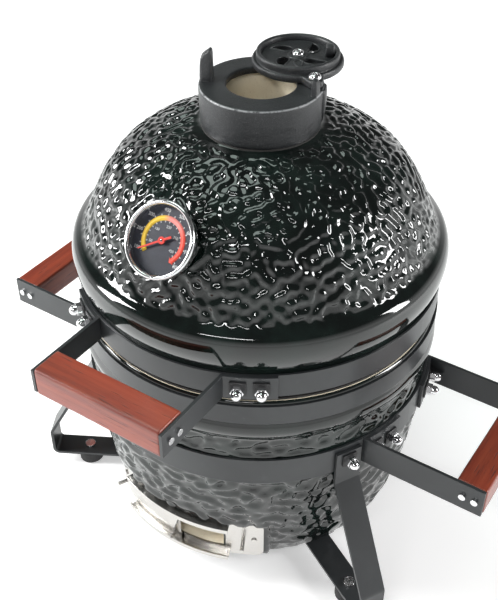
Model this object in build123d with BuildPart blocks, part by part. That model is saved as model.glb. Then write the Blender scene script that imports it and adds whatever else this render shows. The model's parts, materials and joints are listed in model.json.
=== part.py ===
from build123d import *
import math
import os

os.makedirs("parts", exist_ok=True)

# All sizes in millimetres.  Frame: origin on the ground under the centre of the
# grill, +Z up, the draft door and the thermometer face -Y, the hinge is at +Y.

# Heights of the main levels above the ground
foot_height = 14.0
bar_thickness = 3.0
strip_top = foot_height + bar_thickness
stand_band_bottom = 162.0
stand_band_height = 29.0
base_bead_bottom = 215.0
base_band_bottom = 237.0
base_band_height = 20.0
base_top = 260.0
gasket_thickness = 2.0
gasket_gap = 0.3
lid_bottom = base_top + 2 * gasket_thickness + gasket_gap
lid_band_bottom = 268.0
lid_band_height = 23.0
lid_bead_bottom = 294.0
lid_bead_middle = 316.0
lid_bead_top = 331.0
dome_top = 427.0
dome_shoulder = 56.0
collar_top = 463.0

# Radii of the ceramic shells and their bands
lid_bead_radius = 170.0
lid_seat_radius = 164.2
base_seat_radius = 165.3
base_bead_radius = 168.6
body_radius = 164.0
shell_mouth_radius = 143.0
band_thickness = 2.0
band_clearance = 0.2
lid_band_inner = lid_seat_radius + band_clearance
base_band_inner = base_seat_radius + band_clearance
stand_band_inner = body_radius + band_clearance

# Chimney and top vent
collar_radius = 52.0
collar_hole_radius = 29.2
neck_radius = 47.5
chimney_radius = 32.0
collar_roof = 6.0
cap_radius = 39.0
cap_height = 12.6
cap_gap = 0.4
cap_pivot_radius = 43.5
cap_pivot_angle = 24.2
cap_open_angle = 64.9
cap_screw_radius = 3.0
wheel_screw_radius = 2.5
screw_head_rise = 4.0
cap_flange = 6.5
wheel_radius = 30.6
wheel_slots = 4
running_clearance = 0.05

# Thermometer, tilted with the slope of the dome
thermometer_height = 383.0
thermometer_radius = 134.6
thermometer_tilt = 37.6
bezel_radius = 31.5
case_depth = 13.0
stem_radius = 2.0
stem_length = 75.0
needle_rest_angle = 214.0

# Front handle on the lid and side handles on the stand band
front_arm_inside = 63.0
front_arm_end = 235.0
front_grip_depth = 29.0
front_grip_height = 27.0
side_arm_outside = 66.4
side_arm_end = 267.0
side_grip_depth = 28.0
side_grip_height = 28.0
grip_rounding = 2.0
grip_end_gap = 0.1
screw_pitch = 11.0
screw_radius = 1.6
screw_clearance = 0.1
screw_length = 16.0
screw_head_radius = 3.2
screw_head_height = 2.0

# Studs, washers and cap nuts
stud_radius = 3.0
stud_clearance = 0.1
washer_side = 14.0
washer_thickness = 1.5
nut_width = 10.0
nut_height = 5.0
nut_dome_radius = 4.6
stud_reach = 7.5
front_stud_angles = [-33.5, -27.0, 27.0, 33.5]
side_stud_angles = [71.0, 77.5, 102.5, 109.0, 251.0, 257.5, 282.5, 289.0]
leg_angles = [61.0, 180.0, 299.0]
hinge_stud_angles = [175.0, 185.0]

# Stand legs
leg_width = 25.5
leg_top = 186.0
leg_upper_bend = 148.0
leg_lower_bend = 46.0
leg_outer_radius = 224.0
leg_inner_end = 95.0
leg_bend_radius = 4.0
foot_ring_radius = 188.0
foot_radius = 13.0

# Hinge
hinge_axis_y = 190.0
hinge_axis_z = 262.5
hinge_pin_radius = 4.0
hinge_eye_radius = 8.0
upper_ear_inside = 28.0
lower_ear_inside = 24.0

# Draft door
pad_radius = 148.0
frame_bottom = 38.0
frame_height = 44.0
frame_half_angle = 35.0
frame_thickness = 1.4
rail_half_angle = 22.5
rail_depth = 9.0
rail_thickness = 1.4
rail_lip = 5.0
draft_bottom = 47.0
draft_height = 26.0
door_span = 25.0
door_start = -21.5
door_thickness = 1.2

# Inside the bowl
floor_top = 38.0
bowl_floor_radius = 112.0
firebox_radius = 124.0
firebox_top = 165.0
firebox_wall = 12.0
ring_top = 232.0
ring_radius = 137.0
charcoal_level = 92.0
wire_radius = 1.8
rim_wire_radius = 2.5
wire_overlap = 0.7


def radial_plane(angle, radius, height):
    """Plane that faces outward; the angle runs from the front (-Y) towards +X."""
    turn = math.radians(angle)
    outward = (math.sin(turn), -math.cos(turn), 0)
    sideways = (math.cos(turn), math.sin(turn), 0)
    centre = (radius * outward[0], radius * outward[1], height)
    return Plane(origin=centre, x_dir=sideways, z_dir=outward)


def meridian(angle):
    """Upright plane through the grill's axis; local x is the radius, local y is height."""
    turn = math.radians(angle)
    outward = (math.sin(turn), -math.cos(turn), 0)
    return Plane(origin=(0, 0, 0), x_dir=outward, z_dir=(-math.cos(turn), -math.sin(turn), 0))


def ring(inner, outer, bottom, height):
    """Flat ring around the grill's axis."""
    with BuildPart() as made:
        with BuildSketch(Plane.XY.offset(bottom)):
            Circle(outer)
            Circle(inner, mode=Mode.SUBTRACT)
        extrude(amount=height)
    return made.part


def sector(inner, outer, bottom, height, start, span):
    """Part of a ring, from a start angle (front = 0, towards +X) over a span in degrees."""
    with BuildPart() as made:
        with BuildSketch(meridian(start)):
            with BuildLine():
                Polyline(
                    (inner, bottom),
                    (outer, bottom),
                    (outer, bottom + height),
                    (inner, bottom + height),
                    close=True,
                )
            make_face()
        revolve(axis=Axis.Z, revolution_arc=span)
    return made.part


def discs_on(angles, start, length, height, radius):
    """Round pins that stand outward at several angles."""
    with BuildPart() as made:
        for angle in angles:
            with BuildSketch(radial_plane(angle, start, height)):
                Circle(radius)
            extrude(amount=length)
    return made.part


def square_washers(angles, start, height):
    with BuildPart() as made:
        for angle in angles:
            with BuildSketch(radial_plane(angle, start, height)):
                RectangleRounded(washer_side, washer_side, 1.5)
                Circle(stud_radius + stud_clearance, mode=Mode.SUBTRACT)
            extrude(amount=washer_thickness)
    return made.part


def cap_nuts(angles, start, height):
    """Hexagon nuts with a domed end, bored from behind for the stud."""
    bore_depth = stud_reach + 1.0
    with BuildPart() as made:
        for angle in angles:
            seat = radial_plane(angle, start, height)
            with BuildSketch(seat):
                RegularPolygon(nut_width / 2, 6, major_radius=False)
            extrude(amount=nut_height)
            with BuildSketch(seat.offset(nut_height)):
                Circle(nut_dome_radius)
            extrude(amount=2.0)
            dome_centre = seat.offset(nut_height + 2.0).origin
            with Locations(dome_centre):
                Sphere(nut_dome_radius)
            with BuildSketch(seat):
                Circle(stud_radius + stud_clearance)
            extrude(amount=bore_depth, mode=Mode.SUBTRACT)
    return made.part


def pins_from(plane, spots, radius, length):
    """Round pins that rise from a plane at the given spots of that plane."""
    with BuildPart() as made:
        with BuildSketch(plane):
            with Locations(*spots):
                Circle(radius)
        extrude(amount=length)
    return made.part


def finish(piece, name):
    piece.part.label = name
    export_step(piece.part, f"parts/{name}.step")


# ---------------------------------------------------------------- ceramic shells
with BuildPart() as base_body:
    with BuildSketch(Plane.XZ):
        with BuildLine():
            Polyline((0, floor_top), (0, strip_top), (122, strip_top))
            Spline(
                (122, strip_top),
                (137, 29),
                (146, 48),
                (154.4, 81),
                (160.2, 121),
                (body_radius, stand_band_bottom),
                tangents=[(1, 0.1), (0, 1)],
            )
            Line((body_radius, stand_band_bottom), (body_radius, base_bead_bottom))
            ThreePointArc(
                (body_radius, base_bead_bottom),
                (base_bead_radius, base_bead_bottom + 12),
                (base_seat_radius, base_band_bottom - 0.5),
            )
            Polyline(
                (base_seat_radius, base_band_bottom - 0.5),
                (base_seat_radius, base_top - 2),
                (base_seat_radius - 2, base_top),
                (shell_mouth_radius, base_top),
                (shell_mouth_radius - 2, stand_band_bottom),
            )
            Spline(
                (shell_mouth_radius - 2, stand_band_bottom),
                (137, 100),
                (128, 55),
                (bowl_floor_radius, floor_top),
                tangents=[(0, -1), (-1, -0.1)],
            )
            Line((bowl_floor_radius, floor_top), (0, floor_top))
        make_face()
    revolve(axis=Axis.Z)
    # raised pad that gives the draft frame an upright seat
    add(sector(125, pad_radius, frame_bottom - 5, frame_height + 8, -37, 74))
    pad_cut = sector(pad_radius, 175, frame_bottom - 5, frame_height + 8, -37, 74)
    add(pad_cut, mode=Mode.SUBTRACT)
    add(sector(90, 175, draft_bottom, draft_height, -20, 40), mode=Mode.SUBTRACT)
    with BuildSketch(Plane.XY.offset(floor_top)):
        Circle(bowl_floor_radius)
    extrude(amount=draft_bottom - floor_top, mode=Mode.SUBTRACT)
finish(base_body, "base_body")

neck_top = collar_top - collar_roof - gasket_gap
with BuildPart() as lid_dome:
    with BuildSketch(Plane.XZ):
        with BuildLine():
            Polyline(
                (chimney_radius, dome_top - 15),
                (chimney_radius, neck_top),
                (neck_radius, neck_top),
                (neck_radius, dome_top),
                (dome_shoulder, dome_top),
            )
            Spline(
                (dome_shoulder, dome_top),
                (96.8, 413),
                (122.2, 396),
                (137.6, 376),
                (149.7, 353),
                (159.5, lid_bead_top),
                tangents=[(1, -0.1), (0.3, -1)],
            )
            Line((159.5, lid_bead_top), (163.5, lid_bead_top))
            ThreePointArc(
                (163.5, lid_bead_top),
                (lid_bead_radius, lid_bead_middle),
                (lid_seat_radius, lid_bead_bottom),
            )
            Polyline(
                (lid_seat_radius, lid_bead_bottom),
                (lid_seat_radius, lid_bottom + 2),
                (lid_seat_radius - 2, lid_bottom),
                (shell_mouth_radius, lid_bottom),
                (shell_mouth_radius, lid_bead_middle),
            )
            Spline(
                (shell_mouth_radius, lid_bead_middle),
                (136, 346),
                (121, 374),
                (96, 394),
                (60, 404),
                (chimney_radius, dome_top - 15),
                tangents=[(0, 1), (-1, 0.1)],
            )
        make_face()
    revolve(axis=Axis.Z)
    tilt = math.radians(thermometer_tilt)
    dial_plane = Plane(
        origin=(0, -thermometer_radius, thermometer_height),
        x_dir=(1, 0, 0),
        z_dir=(0, -math.cos(tilt), math.sin(tilt)),
    )
    with BuildSketch(dial_plane.offset(10)):
        Circle(stem_radius + 2.5)
    extrude(amount=-50, mode=Mode.SUBTRACT)
finish(lid_dome, "lid_dome")

with BuildPart() as base_gasket:
    add(ring(shell_mouth_radius + 1, base_seat_radius - 3, base_top, gasket_thickness))
finish(base_gasket, "base_gasket")

with BuildPart() as lid_gasket:
    lid_gasket_bottom = lid_bottom - gasket_thickness
    add(ring(shell_mouth_radius + 1, lid_seat_radius - 3, lid_gasket_bottom, gasket_thickness))
finish(lid_gasket, "lid_gasket")

# ---------------------------------------------------------------- steel bands
lid_band_outer = lid_band_inner + band_thickness
base_band_outer = base_band_inner + band_thickness
stand_band_outer = stand_band_inner + band_thickness
lid_band_middle = lid_band_bottom + lid_band_height / 2
base_band_middle = base_band_bottom + base_band_height / 2
stand_band_middle = stand_band_bottom + stand_band_height / 2
hole_radius = stud_radius + stud_clearance

with BuildPart() as lid_band:
    add(ring(lid_band_inner, lid_band_outer, lid_band_bottom, lid_band_height))
    lid_holes = discs_on(
        front_stud_angles + hinge_stud_angles, lid_band_inner - 3, 8, lid_band_middle, hole_radius
    )
    add(lid_holes, mode=Mode.SUBTRACT)
finish(lid_band, "lid_band")

with BuildPart() as base_band:
    add(ring(base_band_inner, base_band_outer, base_band_bottom, base_band_height))
    base_holes = discs_on(hinge_stud_angles, base_band_inner - 3, 8, base_band_middle, hole_radius)
    add(base_holes, mode=Mode.SUBTRACT)
finish(base_band, "base_band")

with BuildPart() as stand_band:
    add(ring(stand_band_inner, stand_band_outer, stand_band_bottom, stand_band_height))
    stand_holes = discs_on(
        side_stud_angles + leg_angles, stand_band_inner - 3, 8, stand_band_middle, hole_radius
    )
    add(stand_holes, mode=Mode.SUBTRACT)
finish(stand_band, "stand_band")

# ---------------------------------------------------------------- front handle
front_flange_inner = lid_band_outer + band_clearance
front_flange_outer = front_flange_inner + bar_thickness
front_corner_y = -math.sqrt(front_flange_inner**2 - front_arm_inside**2)
flange_mid = math.radians(30)
flange_end = math.radians(38)
front_studs_right = [angle for angle in front_stud_angles if angle > 0]
front_grip_y = -front_arm_end + front_grip_depth / 2
front_screw_spots = [
    (front_grip_y - screw_pitch / 2, lid_band_middle),
    (front_grip_y + screw_pitch / 2, lid_band_middle),
]
front_arm_face = front_arm_inside + bar_thickness

with BuildPart() as front_handle_arm_right:
    with BuildSketch(Plane.XY.offset(lid_band_bottom)):
        with BuildLine():
            Line((front_arm_inside, -front_arm_end), (front_arm_inside, front_corner_y))
            ThreePointArc(
                (front_arm_inside, front_corner_y),
                (front_flange_inner * math.sin(flange_mid), -front_flange_inner * math.cos(flange_mid)),
                (front_flange_inner * math.sin(flange_end), -front_flange_inner * math.cos(flange_end)),
            )
            offset(amount=bar_thickness, side=Side.RIGHT, closed=True)
        make_face()
    extrude(amount=lid_band_height)
    flange_holes = discs_on(front_studs_right, front_flange_inner - 5, 12, lid_band_middle, hole_radius)
    add(flange_holes, mode=Mode.SUBTRACT)
    arm_hole_start = Plane.YZ.offset(front_arm_inside - 1)
    arm_holes = pins_from(arm_hole_start, front_screw_spots, screw_radius + screw_clearance, 6)
    add(arm_holes, mode=Mode.SUBTRACT)
finish(front_handle_arm_right, "front_handle_arm_right")

with BuildPart() as front_handle_arm_left:
    mirror(front_handle_arm_right.part, about=Plane.YZ)
finish(front_handle_arm_left, "front_handle_arm_left")

grip_half_length = front_arm_inside - grip_end_gap
with BuildPart() as front_handle_grip:
    with BuildSketch(Plane.YZ.offset(-grip_half_length)):
        with Locations((front_grip_y, lid_band_middle)):
            RectangleRounded(front_grip_depth, front_grip_height, grip_rounding)
    extrude(amount=2 * grip_half_length)
    for side in (-1, 1):
        end_plane = Plane.YZ.offset(side * grip_half_length)
        add(pins_from(end_plane, front_screw_spots, screw_radius, -side * screw_length), mode=Mode.SUBTRACT)
finish(front_handle_grip, "front_handle_grip")

with BuildPart() as front_handle_screws:
    for side in (-1, 1):
        face_plane = Plane.YZ.offset(side * front_arm_face)
        add(pins_from(face_plane, front_screw_spots, screw_head_radius, side * screw_head_height))
        add(pins_from(face_plane, front_screw_spots, screw_radius, -side * screw_length))
finish(front_handle_screws, "front_handle_screws")

front_washer_seat = front_flange_outer
front_nut_seat = front_washer_seat + washer_thickness
with BuildPart() as front_handle_bolts:
    bolt_length = front_nut_seat + stud_reach - lid_band_inner
    add(discs_on(front_stud_angles, lid_band_inner, bolt_length, lid_band_middle, stud_radius))
finish(front_handle_bolts, "front_handle_bolts")

with BuildPart() as front_handle_washers:
    add(square_washers(front_stud_angles, front_washer_seat, lid_band_middle))
finish(front_handle_washers, "front_handle_washers")

with BuildPart() as front_handle_nuts:
    add(cap_nuts(front_stud_angles, front_nut_seat, lid_band_middle))
finish(front_handle_nuts, "front_handle_nuts")

# ---------------------------------------------------------------- side handles
side_flange_inner = stand_band_outer + band_clearance
side_flange_outer = side_flange_inner + bar_thickness
side_corner_x = math.sqrt(side_flange_inner**2 - side_arm_outside**2)
side_mid = math.radians(16)
side_end = math.radians(8)
side_arm_inside = side_arm_outside - bar_thickness
side_grip_x = side_arm_end + 1 - side_grip_depth / 2
side_studs_right_front = side_stud_angles[:2]
side_screw_spots = [
    (side_grip_x - screw_pitch / 2, stand_band_middle),
    (side_grip_x + screw_pitch / 2, stand_band_middle),
]

with BuildPart() as right_handle_arm_front:
    with BuildSketch(Plane.XY.offset(stand_band_bottom)):
        with BuildLine():
            ThreePointArc(
                (side_flange_inner * math.cos(side_end), -side_flange_inner * math.sin(side_end)),
                (side_flange_inner * math.cos(side_mid), -side_flange_inner * math.sin(side_mid)),
                (side_corner_x, -side_arm_outside),
            )
            Line((side_corner_x, -side_arm_outside), (side_arm_end, -side_arm_outside))
            offset(amount=bar_thickness, side=Side.LEFT, closed=True)
        make_face()
    extrude(amount=stand_band_height)
    side_holes = discs_on(
        side_studs_right_front, side_flange_inner - 5, 12, stand_band_middle, hole_radius
    )
    add(side_holes, mode=Mode.SUBTRACT)
    side_hole_start = Plane.XZ.offset(side_arm_inside - 1)
    side_arm_holes = pins_from(side_hole_start, side_screw_spots, screw_radius + screw_clearance, 6)
    add(side_arm_holes, mode=Mode.SUBTRACT)
finish(right_handle_arm_front, "right_handle_arm_front")

with BuildPart() as right_handle_arm_rear:
    mirror(right_handle_arm_front.part, about=Plane.XZ)
finish(right_handle_arm_rear, "right_handle_arm_rear")

with BuildPart() as left_handle_arm_front:
    mirror(right_handle_arm_front.part, about=Plane.YZ)
finish(left_handle_arm_front, "left_handle_arm_front")

with BuildPart() as left_handle_arm_rear:
    mirror(right_handle_arm_rear.part, about=Plane.YZ)
finish(left_handle_arm_rear, "left_handle_arm_rear")

side_grip_half = side_arm_inside - grip_end_gap
with BuildPart() as right_handle_grip:
    with BuildSketch(Plane.XZ.offset(-side_grip_half)):
        with Locations((side_grip_x, stand_band_middle)):
            RectangleRounded(side_grip_depth, side_grip_height, grip_rounding)
    extrude(amount=2 * side_grip_half)
    for side in (-1, 1):
        end_plane = Plane.XZ.offset(side * side_grip_half)
        add(pins_from(end_plane, side_screw_spots, screw_radius, -side * screw_length), mode=Mode.SUBTRACT)
finish(right_handle_grip, "right_handle_grip")

with BuildPart() as left_handle_grip:
    mirror(right_handle_grip.part, about=Plane.YZ)
finish(left_handle_grip, "left_handle_grip")

with BuildPart() as side_handle_screws:
    for side in (-1, 1):
        face_plane = Plane.XZ.offset(side * side_arm_outside)
        add(pins_from(face_plane, side_screw_spots, screw_head_radius, side * screw_head_height))
        add(pins_from(face_plane, side_screw_spots, screw_radius, -side * screw_length))
    mirror(about=Plane.YZ)
finish(side_handle_screws, "side_handle_screws")

# ---------------------------------------------------------------- stand
with BuildPart() as leg_rear:
    with BuildSketch(meridian(180)):
        with BuildLine():
            FilletPolyline(
                (stand_band_outer + band_clearance, leg_top),
                (stand_band_outer + band_clearance, leg_upper_bend),
                (leg_outer_radius, leg_lower_bend),
                (leg_outer_radius, strip_top),
                (leg_inner_end, strip_top),
                radius=leg_bend_radius,
            )
            offset(amount=bar_thickness, side=Side.LEFT, closed=True)
        make_face()
    extrude(amount=leg_width / 2, both=True)
    add(discs_on([180], stand_band_inner, 12, stand_band_middle, hole_radius), mode=Mode.SUBTRACT)
    with BuildSketch(Plane.XY.offset(foot_height - 1)):
        with Locations((0, foot_ring_radius)):
            Circle(hole_radius)
    extrude(amount=bar_thickness + 2, mode=Mode.SUBTRACT)
finish(leg_rear, "leg_rear")

front_leg_turn = leg_angles[0] - 180
with BuildPart() as leg_front_right:
    add(leg_rear.part.rotate(Axis.Z, front_leg_turn))
finish(leg_front_right, "leg_front_right")

with BuildPart() as leg_front_left:
    mirror(leg_front_right.part, about=Plane.YZ)
finish(leg_front_left, "leg_front_left")

foot_places = [radial_plane(angle, foot_ring_radius, 0).origin for angle in leg_angles]
foot_spots = [(place.X, place.Y) for place in foot_places]
foot_skin = 4.0
foot_socket = foot_height - foot_skin
foot_bolt_head = 3.0
foot_bolt_head_radius = 5.5
with BuildPart() as rubber_feet:
    with BuildSketch(Plane.XY):
        with Locations(*foot_spots):
            Circle(foot_radius)
    extrude(amount=foot_height)
    chamfer(rubber_feet.faces().filter_by(Axis.Z).edges(), 1.2)
    add(pins_from(Plane.XY.offset(foot_skin), foot_spots, stud_radius, foot_socket), mode=Mode.SUBTRACT)
finish(rubber_feet, "rubber_feet")

with BuildPart() as foot_bolts:
    add(pins_from(Plane.XY.offset(foot_skin), foot_spots, stud_radius, strip_top - foot_skin))
    add(pins_from(Plane.XY.offset(strip_top), foot_spots, foot_bolt_head_radius, foot_bolt_head))
finish(foot_bolts, "foot_bolts")

stand_washer_seat = side_flange_outer
stand_nut_seat = stand_washer_seat + washer_thickness
with BuildPart() as stand_bolts:
    bolt_length = stand_nut_seat + stud_reach - stand_band_inner
    all_stand_angles = side_stud_angles + leg_angles
    add(discs_on(all_stand_angles, stand_band_inner, bolt_length, stand_band_middle, stud_radius))
finish(stand_bolts, "stand_bolts")

with BuildPart() as stand_washers:
    add(square_washers(all_stand_angles, stand_washer_seat, stand_band_middle))
finish(stand_washers, "stand_washers")

with BuildPart() as stand_nuts:
    add(cap_nuts(all_stand_angles, stand_nut_seat, stand_band_middle))
finish(stand_nuts, "stand_nuts")

# ---------------------------------------------------------------- thermometer
case_back = 1.0
dial_height = 5.0
needle_height = 7.0
glass_height = 9.6
face_radius = bezel_radius - 4.0
with BuildPart() as thermometer_case:
    with BuildSketch(dial_plane.offset(case_back)):
        Circle(bezel_radius - 2.5)
    extrude(amount=case_depth - 4.5)
    with BuildSketch(dial_plane.offset(case_depth - 6.5)):
        Circle(bezel_radius)
    extrude(amount=6.5)
    rim_edges = thermometer_case.edges().sort_by(Axis(dial_plane.origin, dial_plane.z_dir))[-1:]
    chamfer(rim_edges, 1.5)
    with BuildSketch(dial_plane.offset(dial_height - 1)):
        Circle(face_radius)
    extrude(amount=case_depth, mode=Mode.SUBTRACT)
    with BuildSketch(dial_plane):
        Circle(stem_radius)
    extrude(amount=dial_height, mode=Mode.SUBTRACT)
finish(thermometer_case, "thermometer_case")

with BuildPart() as thermometer_dial:
    with BuildSketch(dial_plane.offset(dial_height - 1)):
        Circle(face_radius)
        Circle(stem_radius, mode=Mode.SUBTRACT)
    extrude(amount=1)
finish(thermometer_dial, "thermometer_dial")

with BuildPart() as thermometer_glass:
    with BuildSketch(dial_plane.offset(glass_height)):
        Circle(face_radius)
    extrude(amount=1.6)
finish(thermometer_glass, "thermometer_glass")

needle_hub_radius = 3.0
needle_tail = 9.0
needle_length = 22.0
spindle_radius = 1.0
with BuildPart() as thermometer_stem:
    with BuildSketch(dial_plane.offset(dial_height)):
        Circle(stem_radius)
    extrude(amount=-stem_length)
    with BuildSketch(dial_plane.offset(dial_height)):
        Circle(spindle_radius)
    extrude(amount=needle_height - dial_height + 1.2)
finish(thermometer_stem, "thermometer_stem")

with BuildPart() as thermometer_needle:
    needle_turn = math.radians(needle_rest_angle)
    needle_plane = Plane(
        origin=dial_plane.offset(needle_height).origin,
        x_dir=dial_plane.x_dir * math.cos(needle_turn) + dial_plane.y_dir * math.sin(needle_turn),
        z_dir=dial_plane.z_dir,
    )
    with BuildSketch(needle_plane):
        Circle(needle_hub_radius)
        with BuildLine():
            Polyline(
                (-needle_tail, -1),
                (needle_length, -0.5),
                (needle_length, 0.5),
                (-needle_tail, 1),
                close=True,
            )
        make_face()
        Circle(spindle_radius + running_clearance, mode=Mode.SUBTRACT)
    extrude(amount=0.9)
finish(thermometer_needle, "thermometer_needle")

with BuildPart() as thermometer_nut:
    with BuildSketch(dial_plane.offset(-19.6)):
        RegularPolygon(7, 6, major_radius=False)
        Circle(stem_radius + stud_clearance, mode=Mode.SUBTRACT)
    extrude(amount=-6)
finish(thermometer_nut, "thermometer_nut")

# ---------------------------------------------------------------- top vent
vent_gasket_thickness = 1.6
gasket_top = dome_top + vent_gasket_thickness
with BuildPart() as vent_gasket:
    add(ring(neck_radius + 0.3, collar_radius - 1.5, dome_top, vent_gasket_thickness))
finish(vent_gasket, "vent_gasket")

pivot_turn = math.radians(cap_pivot_angle)
pivot_x = cap_pivot_radius * math.cos(pivot_turn)
pivot_y = cap_pivot_radius * math.sin(pivot_turn)
open_turn = math.radians(180 + cap_pivot_angle - cap_open_angle)
cap_x = pivot_x + cap_pivot_radius * math.cos(open_turn)
cap_y = pivot_y + cap_pivot_radius * math.sin(open_turn)
catch_turn = 180 + cap_pivot_angle
catch_height = 27.0
catch_inner = collar_radius - 12.0
catch_outer = collar_radius - 1.0

with BuildPart() as vent_collar:
    with BuildSketch(Plane.XZ):
        with BuildLine():
            Polyline(
                (neck_radius + 0.5, gasket_top),
                (collar_radius - 1.5, gasket_top),
                (collar_radius, collar_top - 1.5),
                (collar_radius - 1.5, collar_top),
                (collar_hole_radius, collar_top),
                (collar_hole_radius, collar_top - collar_roof),
                (neck_radius + 0.5, collar_top - collar_roof),
                close=True,
            )
        make_face()
    revolve(axis=Axis.Z)
    catch_plane = Plane(
        origin=(0, 0, collar_top - 4),
        x_dir=(math.cos(math.radians(catch_turn)), math.sin(math.radians(catch_turn)), 0),
        z_dir=(math.sin(math.radians(catch_turn)), -math.cos(math.radians(catch_turn)), 0),
    )
    with BuildSketch(catch_plane):
        with BuildLine():
            Polyline(
                (catch_inner, 0),
                (catch_outer, 0),
                (catch_outer, catch_height - 6),
                (catch_outer - 3, catch_height + 4),
                (catch_inner + 3, catch_height),
                close=True,
            )
        make_face()
    extrude(amount=7, both=True)
    with BuildSketch(Plane.XY.offset(collar_top - 5)):
        with Locations((pivot_x, pivot_y)):
            Circle(cap_screw_radius + stud_clearance)
    extrude(amount=6, mode=Mode.SUBTRACT)
finish(vent_collar, "vent_collar")

cap_bottom = collar_top + cap_gap
cap_plane = Plane.XY.offset(cap_bottom)
dish_floor = 5.0
slot_inner = 10.0
slot_outer = 24.0
slot_width = 7.0
first_slot_angle = -12.0
slot_middle = (slot_inner + slot_outer) / 2


def vent_slots(level, depth):
    """Curved air slots, shared by the cap's floor and the wheel that covers it."""
    with BuildPart() as made:
        with BuildSketch(Plane.XY.offset(level)):
            with Locations((cap_x, cap_y)):
                with PolarLocations(slot_middle, wheel_slots, start_angle=first_slot_angle):
                    SlotOverall(slot_outer - slot_inner, slot_width)
        extrude(amount=depth)
    return made.part


with BuildPart() as vent_cap:
    with BuildSketch(cap_plane):
        with Locations((cap_x, cap_y)):
            Circle(cap_radius)
        with Locations((pivot_x, pivot_y)):
            Circle(8)
    extrude(amount=cap_flange)
    with BuildSketch(cap_plane.offset(cap_flange)):
        with Locations((cap_x, cap_y)):
            Circle(cap_radius - 3.5)
    extrude(amount=cap_height - cap_flange)
    with BuildSketch(cap_plane.offset(dish_floor)):
        with Locations((cap_x, cap_y)):
            Circle(wheel_radius + 0.5)
    extrude(amount=cap_height, mode=Mode.SUBTRACT)
    add(vent_slots(cap_bottom, dish_floor), mode=Mode.SUBTRACT)
    with BuildSketch(cap_plane):
        with Locations((pivot_x, pivot_y)):
            Circle(cap_screw_radius + running_clearance)
        with Locations((cap_x, cap_y)):
            Circle(wheel_screw_radius)
    extrude(amount=cap_height, mode=Mode.SUBTRACT)
finish(vent_cap, "vent_cap")

wheel_gap = 0.2
wheel_bottom = cap_bottom + dish_floor + wheel_gap
wheel_thickness = 2.6
wheel_top = wheel_bottom + wheel_thickness
knob_side = 8.0
knob_height = 13.0
knob_angle = 30.0
with BuildPart() as daisy_wheel:
    with BuildSketch(Plane.XY.offset(wheel_bottom)):
        with Locations((cap_x, cap_y)):
            Circle(wheel_radius)
    extrude(amount=wheel_thickness)
    with BuildSketch(Plane.XY.offset(wheel_bottom)):
        with Locations((cap_x, cap_y)):
            with PolarLocations(wheel_radius - knob_side / 2, 1, start_angle=knob_angle):
                RectangleRounded(knob_side, knob_side, 1.2)
    extrude(amount=knob_height)
    add(vent_slots(wheel_bottom, wheel_thickness), mode=Mode.SUBTRACT)
    with BuildSketch(Plane.XY.offset(wheel_bottom)):
        with Locations((cap_x, cap_y)):
            Circle(wheel_screw_radius + running_clearance)
    extrude(amount=wheel_thickness, mode=Mode.SUBTRACT)
finish(daisy_wheel, "daisy_wheel")

with BuildPart() as daisy_screw:
    with BuildSketch(cap_plane):
        with Locations((cap_x, cap_y)):
            Circle(wheel_screw_radius)
    extrude(amount=wheel_top + wheel_gap - cap_bottom)
    with BuildSketch(Plane.XY.offset(wheel_top + wheel_gap)):
        with Locations((cap_x, cap_y)):
            Circle(5.5)
    extrude(amount=screw_head_rise)
    fillet(daisy_screw.edges().group_by(Axis.Z)[-1], 2.5)
finish(daisy_screw, "daisy_screw")

with BuildPart() as vent_pivot_screw:
    with BuildSketch(Plane.XY.offset(collar_top - 5)):
        with Locations((pivot_x, pivot_y)):
            Circle(cap_screw_radius)
    extrude(amount=5 + cap_gap + cap_flange + 0.3)
    with BuildSketch(Plane.XY.offset(cap_bottom + cap_flange + 0.3)):
        with Locations((pivot_x, pivot_y)):
            Circle(6)
    extrude(amount=screw_head_rise)
    fillet(vent_pivot_screw.edges().group_by(Axis.Z)[-1], 2.5)
finish(vent_pivot_screw, "vent_pivot_screw")

# ---------------------------------------------------------------- hinge
hinge_plate_outer = lid_band_outer + band_clearance + bar_thickness
lower_plate_inner = base_band_outer + band_clearance
lower_plate_outer = lower_plate_inner + bar_thickness


def hinge_ears(inside, band_radius, bottom, height, eye_hole):
    """Two cheeks that reach back from a band to the hinge pin."""
    with BuildPart() as made:
        for start, reach in ((inside, bar_thickness), (-inside, -bar_thickness)):
            with BuildSketch(Plane.YZ.offset(start)):
                with Locations((hinge_axis_y, hinge_axis_z)):
                    Circle(hinge_eye_radius)
                with Locations((band_radius - 1.5, bottom + height / 2)):
                    Rectangle(3, height)
                make_hull()
                with Locations((hinge_axis_y, hinge_axis_z)):
                    Circle(eye_hole, mode=Mode.SUBTRACT)
            extrude(amount=reach)
    return made.part


plate_bottom = lid_band_bottom + 1
plate_height = lid_band_height - 2
eye_radius = hinge_pin_radius + running_clearance
upper_root = hinge_plate_outer - 3.5
with BuildPart() as hinge_upper_bracket:
    upper_plate_inner = lid_band_outer + band_clearance
    add(sector(upper_plate_inner, hinge_plate_outer, plate_bottom, plate_height, 169, 22))
    add(hinge_ears(upper_ear_inside, upper_root, plate_bottom, plate_height, eye_radius))
    upper_holes = discs_on(hinge_stud_angles, upper_plate_inner - 5, 12, lid_band_middle, hole_radius)
    add(upper_holes, mode=Mode.SUBTRACT)
    add(ring(100, upper_plate_inner, plate_bottom - 1, plate_height + 2), mode=Mode.SUBTRACT)
finish(hinge_upper_bracket, "hinge_upper_bracket")

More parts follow.
